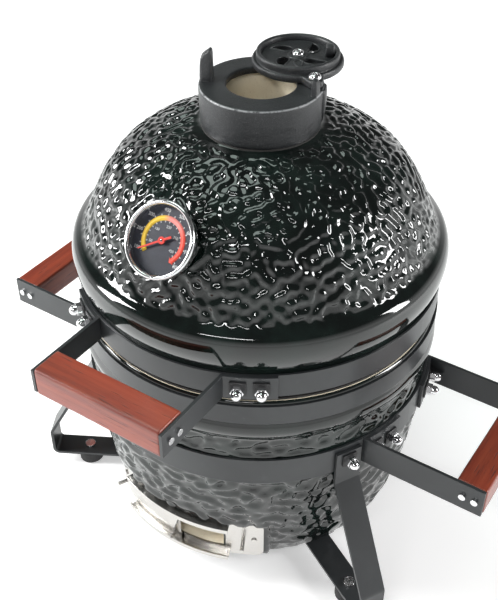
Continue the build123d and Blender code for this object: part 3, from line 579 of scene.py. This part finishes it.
def base_shell():
    """The bowl: outer wall, rim and inner wall in one turned profile from the centre of
    the underside to the centre of the floor.  Rows and columns line up with the draft
    opening, which is cut out of both walls and given four straight sides.  Round the
    opening the wall steps to an upright pad for the draft frame."""
    sill, head, half_opening = 47.0, 73.0, 20.0
    outer = [
        (0.0, 17), (30, 17), (80, 17), (119, 17.0), (124.5, 18.6), (137, 29), (146, 48),
        (150.8, 64),
        (154.4, 81), (157.6, 101), (160.2, 121), (162.8, 141), (164, 162), (164, 190), (164, 214.5),
        (165.9, 218.5), (168.0, 223.5), (168.6, 227), (167.9, 231.8), (166.0, 235.4),
        (165.3, 238), (165.3, 256), (165.0, 258.4), (163.6, 259.8), (161, 260),
        (150, 260), (144.6, 260), (143.2, 258.8), (142.9, 256), (141, 162), (137, 100), (134, 73),
        (131.8, 60), (128, 47), (121, 40.5), (112, 38), (60, 38), (0.0, 38),
    ]
    columns = 504
    path = smooth_path(outer)
    top = int(np.argmax(path[:, 1] > 259.9))
    rising, falling = path[:top], path[top:]
    low = int(np.argmax(rising[:, 1] >= sill))
    high = int(np.argmax(rising[:, 1] >= head))
    inner_high = int(np.argmax(falling[:, 1] <= head))
    inner_low = int(np.argmax(falling[:, 1] <= sill))
    tall = int(np.argmax(rising[:, 1] >= 214.5))
    opening_rows = 19
    legs = [
        along(rising[:low], 0, 1, 34),
        along(rising[low:high], 0, 1, opening_rows),
        along(rising[high:tall], 0, 1, 82)[1:],
        along(np.concatenate([rising[tall:], falling[:60]]), 0, 1, 24)[1:],
        along(falling[60:inner_high], 0, 1, 12)[1:-1],
        along(falling[inner_high:inner_low], 0, 1, opening_rows),
        along(falling[inner_low:], 0, 1, 12)[1:],
    ]
    legs[1][:, 1] = np.linspace(sill, head, opening_rows)
    legs[5][:, 1] = np.linspace(head, sill, opening_rows)
    profile = np.concatenate(legs)
    first_outer = len(legs[0])
    first_inner = sum(len(leg) for leg in legs[:5])
    wall_rows = first_outer + len(legs[1]) + len(legs[2])
    radius, height = profile[:, 0], profile[:, 1]
    fade = ramp(height, 27, 34) * (1 - ramp(height, 154, 160)) + ramp(height, 193, 197) * (
        1 - ramp(height, 209, 213)
    )
    fade[wall_rows:] = 0
    points = relief_on(profile, right_hand_of(profile), columns, fade, 23, 10.0, 1.25, 0.62)
    # the upright pad: its share falls off over a few millimetres at each side
    angle = (np.arange(columns) * 360.0 / columns + 180) % 360 - 180
    across = 1 - ramp(abs(angle), 36.6, 37.9)
    upright = ramp(height, 32.0, 34.2) * (1 - ramp(height, 84.6, 86.6))
    upright[wall_rows:] = 0
    share = upright[:, None] * across[None, :]
    flat_radius = np.hypot(points[..., 0], points[..., 1])
    wanted = flat_radius * (1 - share) + PAD_RADIUS * share
    squeeze = wanted / np.maximum(flat_radius, 1e-6)
    points[..., 0] *= squeeze
    points[..., 1] *= squeeze
    flat = points.reshape(-1, 3)
    faces = grid_faces(len(profile), columns)
    half = int(round(half_opening * columns / 360))
    row_of = np.repeat(np.arange(len(profile) - 1), columns)
    column_of = np.tile(np.arange(columns), len(profile) - 1)
    in_columns = (column_of < half) | (column_of >= columns - half)
    span = opening_rows - 1
    in_rows = ((row_of >= first_outer) & (row_of < first_outer + span)) | (
        (row_of >= first_inner) & (row_of < first_inner + span)
    )
    keep = ~(in_columns & in_rows)
    # the four sides of the opening join the outer wall's edge to the inner wall's edge
    sweep = np.arange(-half, half + 1) % columns
    climb = np.arange(opening_rows)
    outer_row = first_outer + climb
    inner_row = first_inner + span - climb
    side_faces = []
    for outside, inside, turn in (
        (outer_row[0] * columns + sweep, inner_row[0] * columns + sweep, False),
        (outer_row[-1] * columns + sweep, inner_row[-1] * columns + sweep, True),
        (outer_row * columns + sweep[0], inner_row * columns + sweep[0], True),
        (outer_row * columns + sweep[-1], inner_row * columns + sweep[-1], False),
    ):
        quads = np.stack([outside[:-1], outside[1:], inside[1:], inside[:-1]], axis=1)
        side_faces.append(quads[:, ::-1] if turn else quads)
    sides = np.concatenate(side_faces)
    all_faces = np.concatenate([faces[keep], sides])
    clay = np.concatenate([row_of[keep] >= wall_rows + 16, np.ones(len(sides), dtype=bool)])
    return mesh_object("base_glazed_shell", flat, all_faces, [GLAZE, CLAY], clay)


def weld(obj):
    """Joins points that share a place and turns every face outward."""
    work = bmesh.new()
    work.from_mesh(obj.data)
    bmesh.ops.remove_doubles(work, verts=work.verts, dist=2e-6)
    bmesh.ops.dissolve_degenerate(work, edges=work.edges, dist=1e-7)
    bmesh.ops.recalc_face_normals(work, faces=work.faces)
    work.to_mesh(obj.data)
    work.free()
    return obj


lid = weld(lid_shell())
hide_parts("lid_dome")
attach(lid, "lid")
bowl = weld(base_shell())
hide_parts("base_body")
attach(bowl, "base")


# ------------------------------------------------------------------ wooden grips
def wooden_grip(name, axis, centre, half_length, depth, height, corner, seed, paint):
    """A bar with rounded corners along one axis.  Its section is a rounded rectangle;
    near the ends it draws in, and hand sanding leaves it a little uneven."""
    around, along_count = 72, 60
    rng = np.random.default_rng(seed)
    turn = np.linspace(0, FULL_TURN, around, endpoint=False)
    squarish = 2.0 / 14
    wide, tall = depth / 2, height / 2
    u = np.sign(np.cos(turn)) * abs(np.cos(turn)) ** squarish * wide
    v = np.sign(np.sin(turn)) * abs(np.sin(turn)) ** squarish * tall
    inset = np.array([1.4, 0.75, 0.3, 0.08, 0.0])
    end = np.array([0.0, 0.15, 0.5, 0.95, corner])
    middle = np.linspace(-half_length + corner, half_length - corner, along_count)[1:-1]
    station = np.concatenate([-half_length + end, middle, half_length - end[::-1]])
    shrink = np.concatenate([inset, np.zeros(len(middle)), inset[::-1]])
    wave = sum(
        np.cos(station / rng.uniform(9, 25) + rng.uniform(0, FULL_TURN))[:, None]
        * np.cos(count * turn + rng.uniform(0, FULL_TURN))[None, :]
        for count in (1, 2, 3)
    )
    scale_u = (wide - shrink) / wide
    scale_v = (tall - shrink) / tall
    across = u[None, :] * scale_u[:, None] * (1 - 0.004 + 0.0025 * wave)
    up = v[None, :] * scale_v[:, None] * (1 - 0.004 + 0.0025 * wave)
    line = np.repeat(station[:, None], around, axis=1)
    if axis == 0:
        points = np.stack([line, across, up], axis=-1)
    else:
        points = np.stack([across, line, up], axis=-1)
    points, faces = closed_tube(points + np.asarray(centre))
    return weld(mesh_object(name, points, faces, [paint]))


grip = wooden_grip(
    "front_grip_wood", 0, (0, -220.5, 279.5), 62.8, 28.9, 26.9, 2.0, 3, WOOD_ACROSS
)
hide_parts("front_handle_grip")
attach(grip, "lid")
for side, name in ((1, "right"), (-1, "left")):
    grip = wooden_grip(
        name + "_grip_wood",
        1,
        (side * 254.0, 0, 176.5),
        63.2,
        27.9,
        27.9,
        2.0,
        5 + side,
        WOOD_ALONG,
    )
    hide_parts(name + "_handle_grip")
    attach(grip, "base")


# ------------------------------------------------------------------ thermometer
DIAL_OUT = np.array([0.0, -math.cos(THERMOMETER_TILT), math.sin(THERMOMETER_TILT)])
DIAL_RIGHT = np.array([1.0, 0.0, 0.0])
DIAL_UP = np.array([0.0, math.sin(THERMOMETER_TILT), math.cos(THERMOMETER_TILT)])


def on_dial(points):
    """Moves points from the dial's own plane (right, up, out) to the frame, in millimetres."""
    points = np.asarray(points, dtype=float)
    return (
        THERMOMETER_CENTRE
        + points[..., :1] * DIAL_RIGHT
        + points[..., 1:2] * DIAL_UP
        + points[..., 2:3] * DIAL_OUT
    )


def dial_revolve(name, profile, columns, paint):
    """A profile of (radius, height over the dial plane) turned round the dial's axis."""
    spun = turned(np.asarray(profile, dtype=float), columns)
    points, faces = closed_tube(on_dial(spun))
    return weld(mesh_object(name, points, faces, [paint]))


bezel_path = smooth_path(
    [
        (0.2, 1), (17, 1), (28.3, 1.0), (29.0, 1.6), (29.0, 5.6), (29.4, 6.4), (30.7, 6.7),
        (31.4, 7.4), (31.5, 8.5), (31.5, 10.4), (31.2, 11.8), (30.4, 12.7), (29.4, 13.0),
        (28.5, 12.7), (28.0, 12.0), (27.8, 11.5), (27.65, 11.3), (27.6, 11), (27.6, 6),
        (27.5, 4.1), (27.0, 4.0), (12, 4.0), (2.1, 4.0),
    ],
    6,
)
bezel = dial_revolve("thermometer_bezel_shell", bezel_path, 160, BEZEL)
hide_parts("thermometer_case")
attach(bezel, "lid")


def scale_strips(spans, inner, outer, low, high, steps):
    """Closed strips of an arc on the dial, one for each (start, end) span in degrees.

    Each strip is a tube whose section is a rectangle from inner to outer radius."""
    spans = np.radians(np.asarray(spans, dtype=float))
    turn = spans[:, :1] + (spans[:, 1:] - spans[:, :1]) * np.linspace(0, 1, steps)
    inner = np.broadcast_to(np.asarray(inner, dtype=float), turn.shape)
    outer = np.broadcast_to(np.asarray(outer, dtype=float), turn.shape)
    section = ((inner, low), (outer, low), (outer, high), (inner, high))
    rings = np.stack(
        [
            np.stack([r * np.cos(turn), r * np.sin(turn), np.full_like(turn, h)], axis=-1)
            for r, h in section
        ],
        axis=2,
    )
    points, faces = [], []
    for strip in rings:
        made, joined = closed_tube(strip)
        faces += [[index + sum(map(len, points)) for index in face] for face in joined]
        points.append(made)
    return np.concatenate(points), faces


scale_start, scale_end = 223.0, -44.0
head_length = 7.0
inner_edge, outer_edge = 15.8, 19.9
arc_steps = 90
points, faces = scale_strips(
    [(scale_start, scale_end)], inner_edge, outer_edge, 5.0, 5.25, arc_steps
)
arrow_turn = np.array([scale_end, scale_end - head_length])
arrow, arrow_faces = scale_strips(
    [arrow_turn], [[inner_edge - 1.4, 17.8]], [[outer_edge + 1.4, 17.9]], 5.0, 5.25, 2
)
arrow_faces = [[index + len(points) for index in face] for face in arrow_faces]
place = np.concatenate([points, arrow])
band = mesh_object("dial_colour_scale", on_dial(place), faces + arrow_faces, [SCALE])
turn_of = (np.degrees(np.arctan2(place[:, 1], place[:, 0])) + 70) % 360 - 70
warm = (scale_start - turn_of) / (scale_start - scale_end)
warmth = band.data.attributes.new("warmth", "FLOAT", "POINT")
warmth.data.foreach_set("value", warm.astype(np.float32))
weld(band)
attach(band, "lid")

outer_marks = np.linspace(scale_start - 6, scale_end + 6, 16)
inner_marks = np.linspace(scale_start - 12, scale_end + 10, 17)
outer_ticks, outer_faces = scale_strips(
    np.stack([outer_marks - 0.9, outer_marks + 0.9], axis=1), 20.0, 21.3, 5.0, 5.2, 2
)
inner_ticks, inner_faces = scale_strips(
    np.stack([inner_marks - 1.1, inner_marks + 1.1], axis=1), 14.4, 15.7, 5.0, 5.2, 2
)
inner_faces = [[index + len(outer_ticks) for index in face] for face in inner_faces]


def number_mesh(word, turn_degrees, radius, size):
    """Points and faces of a printed number, upright on the dial at a place on a circle."""
    letters = bpy.data.curves.new("number", "FONT")
    letters.body = word
    letters.size = size
    letters.extrude = 0.06
    letters.align_x = "CENTER"
    letters.align_y = "CENTER"
    holder = bpy.data.objects.new("number", letters)
    mesh = bpy.data.meshes.new_from_object(holder)
    flat = np.empty(len(mesh.vertices) * 3)
    mesh.vertices.foreach_get("co", flat)
    flat = flat.reshape(-1, 3)
    turn = math.radians(turn_degrees)
    flat += (radius * math.cos(turn), radius * math.sin(turn), 5.1)
    found = [list(polygon.vertices) for polygon in mesh.polygons]
    bpy.data.objects.remove(holder)
    return flat, found


print_points = [outer_ticks, inner_ticks]
print_faces = outer_faces + inner_faces
for count, turn in enumerate(np.linspace(scale_start - 14, scale_end + 4, 8)):
    flat, found = number_mesh(str(100 * (count + 1)), turn, 24.1, 4.0)
    start = sum(map(len, print_points))
    print_points.append(flat)
    print_faces += [[index + start for index in face] for face in found]
for count, turn in enumerate(np.linspace(scale_start - 26, scale_end + 16, 5)):
    flat, found = number_mesh(str(50 * (2 * count + 1)), turn, 11.3, 3.1)
    start = sum(map(len, print_points))
    print_points.append(flat)
    print_faces += [[index + start for index in face] for face in found]
numbers = mesh_object(
    "dial_numbers_print", on_dial(np.concatenate(print_points)), print_faces, [PRINT]
)
flat_faces = np.zeros(len(numbers.data.polygons), dtype=bool)
numbers.data.polygons.foreach_set("use_smooth", flat_faces)
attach(numbers, "lid")


# ------------------------------------------------------------------ top vent
def cast_lump(rows, lean=0.0):
    """Rings of a softly squared section stacked upwards, one for each
    (height, middle along, half length, half width) row; the last rows close the top."""
    turn = np.linspace(0, FULL_TURN, 40, endpoint=False)
    soft = 2.0 / 5
    u = np.sign(np.cos(turn)) * abs(np.cos(turn)) ** soft
    v = np.sign(np.sin(turn)) * abs(np.sin(turn)) ** soft
    rows = np.asarray(rows, dtype=float)
    along_axis = rows[:, 1:2] + rows[:, 2:3] * u[None, :]
    across = rows[:, 3:4] * v[None, :]
    height = rows[:, :1] + lean * u[None, :] * (rows[:, 2:3] > 0)
    return np.stack([along_axis, across, height], axis=-1)


def swung(points, angle, centre=(0.0, 0.0)):
    """Turns points about the Z axis by an angle in degrees, then moves them to centre."""
    turn = math.radians(angle)
    spin = np.array([[math.cos(turn), math.sin(turn)], [-math.sin(turn), math.cos(turn)]])
    out = np.array(points, dtype=float)
    out[..., :2] = out[..., :2] @ spin + np.asarray(centre)
    return out


def joined(*shells):
    """One list of points and faces from several (points, faces) shells."""
    points, faces = [], []
    start = 0
    for shell_points, shell_faces in shells:
        points.append(shell_points)
        faces += [[index + start for index in face] for face in shell_faces]
        start += len(shell_points)
    return np.concatenate(points), faces


def looped(profile, columns, swell=None, centre=(0.0, 0.0), uneven_mm=0.0, seed=0):
    """A closed profile turned round the Z axis.  swell maps (rows, angle) to extra radius;
    uneven_mm adds the soft unevenness of a sand casting."""
    spun = turned(np.asarray(profile, dtype=float), columns)
    angle = np.arange(columns) * FULL_TURN / columns - math.pi / 2
    radius = np.hypot(spun[..., 0], spun[..., 1])
    extra = np.zeros_like(radius) if swell is None else swell(radius, angle[None, :])
    if uneven_mm:
        rng = np.random.default_rng(seed)
        turns = np.arange(1, 22)
        shift = rng.uniform(0, FULL_TURN, size=(len(turns), 2))
        wave = sum(
            np.cos(t * angle[None, :] + s[0]) * np.cos(0.11 * t * spun[..., 2] + s[1])
            for t, s in zip(turns, shift)
        )
        extra = extra + uneven_mm * wave / math.sqrt(len(turns))
    spun[..., 0] = (radius + extra) * np.cos(angle) + centre[0]
    spun[..., 1] = (radius + extra) * np.sin(angle) + centre[1]
    return spun.reshape(-1, 3), grid_faces(len(profile), columns, wrap_rows=True).tolist()


def leaf_outline(start, end, half_width, sweep, steps=26):
    """Outline of a curved leaf.  Its spine runs out from start to end radius while it
    turns by sweep degrees; the width follows a sine that is blunt at the outer end."""
    share = np.linspace(0, 1, steps)
    radius = start + (end - start) * share
    turn = np.radians(sweep) * (share**1.4)
    wide = half_width * np.sin(math.pi * share**0.75) ** 0.7
    spine = np.stack([radius * np.cos(turn), radius * np.sin(turn)], axis=1)
    forward = np.gradient(spine, axis=0)
    forward /= np.linalg.norm(forward, axis=1, keepdims=True)
    side = np.stack([-forward[:, 1], forward[:, 0]], axis=1) * wide[:, None]
    return np.concatenate([spine + side, (spine - side)[-2:0:-1]])


def pierced_plate(outlines, low, high, soft_edge):
    """Flat plate with a rim outline and holes, its edges rounded by soft_edge."""
    flat = bpy.data.curves.new("plate", "CURVE")
    flat.dimensions = "2D"
    flat.fill_mode = "BOTH"
    flat.extrude = (high - low) / 2 - soft_edge
    flat.bevel_depth = soft_edge
    flat.bevel_resolution = 2
    for outline in outlines:
        line = flat.splines.new("POLY")
        line.points.add(len(outline) - 1)
        level, weight = np.zeros((len(outline), 1)), np.ones((len(outline), 1))
        ring = np.concatenate([outline, level, weight], axis=1)
        line.points.foreach_set("co", ring.astype(np.float32).reshape(-1))
        line.use_cyclic_u = True
    holder = bpy.data.objects.new("plate", flat)
    mesh = bpy.data.meshes.new_from_object(holder)
    points = np.empty(len(mesh.vertices) * 3)
    mesh.vertices.foreach_get("co", points)
    points = points.reshape(-1, 3) + (0, 0, (low + high) / 2)
    faces = [list(polygon.vertices) for polygon in mesh.polygons]
    bpy.data.objects.remove(holder)
    return points, faces


def bead_along(outline, height, thick):
    """A round bead laid along a closed outline at one height."""
    forward = np.roll(outline, -1, axis=0) - np.roll(outline, 1, axis=0)
    forward /= np.linalg.norm(forward, axis=1, keepdims=True)
    side = np.stack([-forward[:, 1], forward[:, 0]], axis=1)
    turn = np.linspace(0, FULL_TURN, 10, endpoint=False)
    rings = outline[:, None, :] + side[:, None, :] * (thick * np.cos(turn))[None, :, None]
    level = np.broadcast_to(height + thick * np.sin(turn), rings.shape[:2])
    points = np.concatenate([rings, level[..., None]], axis=-1).reshape(-1, 3)
    return points, grid_faces(len(outline), len(turn), wrap_rows=True).tolist()


collar_profile = along(
    smooth_path(
        [
            (48.2, 428.8), (50.2, 428.7), (50.7, 429.6), (51.2, 440), (51.7, 452), (51.95, 460.6),
            (51.6, 462.2), (50.6, 462.9), (49.0, 463.0), (40, 463.0), (30.6, 463.0),
            (29.6, 462.7), (29.25, 461.9), (29.25, 458.2), (29.8, 457.2), (31, 457.05),
            (46.5, 457.05), (48.0, 456.0), (48.1, 430), (48.2, 428.8),
        ]
    ),
    0, 1, 90,
)[:-1]
post = cast_lump(
    [
        (457, 45.6, 0.0, 0.0), (457, 45.6, 5.6, 6.2), (462, 45.6, 5.5, 6.0),
        (470, 45.6, 5.3, 5.6), (478, 45.5, 5.1, 5.3), (483, 45.2, 4.8, 5.0),
        (486, 44.9, 4.2, 4.5), (487.4, 44.7, 2.8, 3.4), (487.9, 44.6, 0.0, 0.0),
    ],
    -2.2,
)
boss = cast_lump(
    [
        (433, 47.0, 0.0, 0.0), (433, 47.0, 4.6, 3.0), (440, 46.4, 6.6, 5.2),
        (450, 45.6, 8.2, 7.4), (458, 45.0, 8.8, 8.2), (462.2, 44.8, 8.6, 8.1),
        (463.1, 44.8, 7.9, 7.4), (463.2, 44.8, 0.0, 0.0),
    ]
)
stop = cast_lump(
    [
        (457, 48.5, 0.0, 0.0), (457, 48.5, 3.0, 4.4), (463, 48.4, 2.9, 4.3), (470, 48.3, 2.7, 4.0),
        (474, 48.2, 2.4, 3.3), (476, 48.1, 1.7, 2.2), (476.5, 48.1, 0.0, 0.0),
    ],
    -0.6,
)
collar = weld(
    mesh_object(
        "vent_collar_casting",
        *joined(
            looped(collar_profile, 220, uneven_mm=0.07, seed=31),
            closed_tube(swung(post, CATCH_ANGLE)),
            closed_tube(swung(boss, PIVOT_ANGLE)),
            closed_tube(swung(stop, STOP_ANGLE)),
        ),
        [IRON],
    )
)
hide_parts("vent_collar")
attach(collar, "lid")

CAP_BOTTOM = COLLAR_TOP + 0.4
to_pivot = math.atan2(*(CAP_PIVOT - CAP_CENTRE)[::-1])


def pivot_lobe(radius, angle):
    """Extra radius that carries the cap's flange round its pivot screw."""
    away = (angle - to_pivot + math.pi) % FULL_TURN - math.pi
    lobe = np.exp(-((away / 0.17) ** 4)) * 12.2
    return lobe * ramp(radius, 36.8, 38.2)


cap_profile = along(
    smooth_path(
        [
            (30.9, 0.2), (36, 0.0), (38.0, 0.4), (38.9, 1.6), (39.0, 3.2), (38.8, 5.0),
            (38.1, 6.2), (37.2, 6.5), (36.6, 6.0), (36.1, 5.7), (35.6, 6.2), (35.45, 8.0),
            (35.4, 10.6), (34.9, 12.0), (33.8, 12.6), (32.6, 12.4), (31.6, 11.4),
            (31.15, 9.8), (31.1, 6.0), (30.9, 4.6), (30.9, 0.2),
        ]
    ),
    0, 1, 84,
)[:-1]
circle = np.linspace(0, FULL_TURN, 120, endpoint=False)
petal = leaf_outline(9.6, 27.2, 5.3, 30.0)
petals = [swung(petal, FIRST_SLOT - 14 + 90 * count) for count in range(4)]


def disc_outline(radius):
    return np.stack([radius * np.cos(circle), radius * np.sin(circle)], axis=1)


floor_plate = pierced_plate([disc_outline(31.2), *petals], CAP_BOTTOM + 0.3, CAP_BOTTOM + 5.0, 0.2)
floor_plate = (floor_plate[0] + (*CAP_CENTRE, 0), floor_plate[1])
lifted = cap_profile + (0, CAP_BOTTOM)
cap = weld(
    mesh_object(
        "vent_cap_casting",
        *joined(
            looped(lifted, 200, pivot_lobe, CAP_CENTRE, 0.04, 37),
            floor_plate,
        ),
        [IRON],
    )
)
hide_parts("vent_cap")
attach(cap, "vent_cap")

WHEEL_BOTTOM = CAP_BOTTOM + 5.2
WHEEL_TOP = WHEEL_BOTTOM + 2.6
wheel_plate = pierced_plate([disc_outline(30.4), *petals], WHEEL_BOTTOM, WHEEL_TOP, 0.45)
drop = leaf_outline(9.5, 23.5, 3.6, 0.0)
beads = [bead_along(ring, WHEEL_TOP - 0.1, 0.75) for ring in petals]
drop_bead = bead_along(swung(drop, -57.0), WHEEL_TOP - 0.1, 0.9)
hub_path = smooth_path(
    [(5.6, -0.5), (9.2, -0.5), (8.6, 0.9), (7.6, 1.25), (6.0, 1.3), (5.6, -0.5)]
)
hub = looped(along(hub_path, 0, 1, 26)[:-1] + (0, WHEEL_TOP), 60)
knob = cast_lump(
    [
        (0, 26.4, 0.0, 0.0), (0, 26.4, 3.95, 3.95), (4, 26.5, 3.8, 3.85), (8, 26.6, 3.6, 3.7),
        (9.6, 26.6, 3.2, 3.4), (10.2, 26.6, 2.4, 2.7), (10.3, 26.6, 0.0, 0.0),
    ]
)
knob[..., 2] += WHEEL_TOP - 0.2
wheel_points, wheel_faces = joined(
    wheel_plate, *beads, drop_bead, hub, closed_tube(swung(knob, KNOB_ANGLE))
)
wheel_points = wheel_points + (*CAP_CENTRE, 0)
wheel = weld(mesh_object("daisy_wheel_casting", wheel_points, wheel_faces, [IRON]))
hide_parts("daisy_wheel")
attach(wheel, "daisy_wheel")


def button_screw(name, node, body, centre, seat, stem_radius, stem_foot):
    """Domed screw with a six-sided socket; the socket's radius follows the hexagon."""
    profile = along(
        smooth_path(
            [
                (0.05, seat + 1.3), (1.6, seat + 1.3), (2.0, seat + 1.5), (2.05, seat + 3.6),
                (2.6, seat + 3.9), (3.8, seat + 3.6), (4.9, seat + 2.6), (5.4, seat + 1.2),
                (5.45, seat + 0.3), (5.2, seat), (stem_radius + 0.3, seat),
                (stem_radius, seat - 0.2),
                (stem_radius, stem_foot), (0.05, stem_foot),
            ]
        ),
        0, 1, 60,
    )[::-1]
    spun = turned(profile, 72)
    angle = np.arctan2(spun[..., 1], spun[..., 0])
    side = (angle % (math.pi / 3)) - math.pi / 6
    hexagon = math.cos(math.pi / 6) / np.cos(side)
    in_socket = (profile[:, 1] > seat + 1.25) & (profile[:, 0] < 2.3)
    factor = np.where(in_socket[:, None], hexagon, 1.0)
    spun[..., :2] *= factor[..., None]
    points, faces = closed_tube(spun)
    made = weld(mesh_object(name, points + (*centre, 0), faces, [CHROME]))
    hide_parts(node)
    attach(made, body)


button_screw(
    "daisy_screw_socket", "daisy_screw", "vent_cap",
    CAP_CENTRE, WHEEL_TOP + 0.2, 2.4, CAP_BOTTOM,
)
button_screw(
    "pivot_screw_socket", "vent_pivot_screw", "lid",
    CAP_PIVOT, CAP_BOTTOM + 6.8, 2.9, COLLAR_TOP - 5,
)


# ------------------------------------------------------------------ studio
# strengths of the floor's painted light (emission), close to the grill and far from it
NEAR_GLOW, FAR_GLOW = 0.36, 0.75


def studio_floor():
    """A pale seamless floor, faintly clouded, with painted light: its emission glow is dimmer near
    the grill and grows towards the horizon.
    """
    p = Paint("studio_floor")
    cloud = p.noise(3, 3)
    color = p.mix(cloud, (0.88, 0.88, 0.88), (0.92, 0.92, 0.92))
    # painted light: the emission rises from NEAR_GLOW by the grill to FAR_GLOW away from it
    x, y = p.axis("X"), p.axis("Y")
    away = p.spread((x * x + y * y) ** 0.5, 0.45, 1.6)
    glow = p.mix(away, (NEAR_GLOW, NEAR_GLOW, NEAR_GLOW), (FAR_GLOW, FAR_GLOW, FAR_GLOW))
    p.feed(p.shader.inputs["Emission Color"], glow)
    p.feed(p.shader.inputs["Emission Strength"], 1.0)
    paint = p.finish(color=color, rough=0.8)
    span = np.linspace(-6000, 6000, 25)
    x, y = np.meshgrid(span, span)
    points = np.stack([x, y, np.full_like(x, -0.4)], axis=-1).reshape(-1, 3)
    floor = mesh_object("floor", points, grid_faces(25, 25, wrap_columns=False), [paint])


def softbox(name, place, aim, width, height, power, tone=(1, 1, 1)):
    light = bpy.data.lights.new(name, "AREA")
    light.shape = "RECTANGLE"
    light.size = width
    light.size_y = height
    light.energy = power
    light.color = tone
    holder = bpy.data.objects.new(name, light)
    bpy.context.scene.collection.objects.link(holder)
    holder.location = place
    holder.rotation_euler = (Vector(aim) - Vector(place)).to_track_quat("-Z", "Y").to_euler()


studio_floor()
softbox("left_window", (-1.15, -0.75, 0.95), (0, 0, 0.32), 0.35, 0.9, 30)
softbox("top_sheet", (-0.55, 0.15, 1.9), (0, 0, 0.3), 0.9, 0.9, 9, (0.85, 1.0, 0.93))
softbox("right_window", (1.35, 0.55, 0.8), (0, 0, 0.3), 0.3, 0.8, 16)
softbox("front_strip", (0.35, -1.5, 1.7), (0, 0, 0.3), 0.9, 0.10, 8)

world = bpy.data.worlds.new("studio_air")
world.use_nodes = True
bpy.context.scene.world = world
air = world.node_tree.nodes["Background"]
around = world.node_tree.nodes.new("ShaderNodeTexCoord")
rising = world.node_tree.nodes.new("ShaderNodeSeparateXYZ")
world.node_tree.links.new(around.outputs["Generated"], rising.inputs[0])
height = Value(world.node_tree, rising.outputs["Z"])
# a white sweep near the horizon that darkens towards the ceiling
sweep = (0.95 - height * 2.2).clipped()
world.node_tree.links.new((sweep * 1.1 + 0.10).socket, air.inputs["Strength"])
air.inputs["Color"].default_value = (1, 1, 1, 1)
bpy.context.scene.view_settings.view_transform = "Standard"

# ------------------------------------------------------------------ camera
LENS_MM = 57.288
AZIMUTH, RISE, DIP = math.radians(32.72), math.radians(39.09), math.radians(38.55)
DISTANCE, TARGET_HEIGHT = 0.9293, 0.2242
TURN_ASIDE = 0.01099707
eye = bpy.data.cameras.new("camera")
eye.lens = LENS_MM
eye.clip_end = 30
camera = bpy.data.objects.new("camera", eye)
bpy.context.scene.collection.objects.link(camera)
camera.location = (
    DISTANCE * math.cos(RISE) * math.sin(AZIMUTH),
    -DISTANCE * math.cos(RISE) * math.cos(AZIMUTH),
    DISTANCE * math.sin(RISE) + TARGET_HEIGHT,
)
sideways = Vector((math.cos(AZIMUTH), math.sin(AZIMUTH), 0))
level = math.cos(DIP)
ahead = Vector((-level * math.sin(AZIMUTH), level * math.cos(AZIMUTH), -math.sin(DIP)))
ahead = ahead - sideways * TURN_ASIDE
camera.rotation_euler = ahead.to_track_quat("-Z", "Y").to_euler()
bpy.context.scene.camera = camera
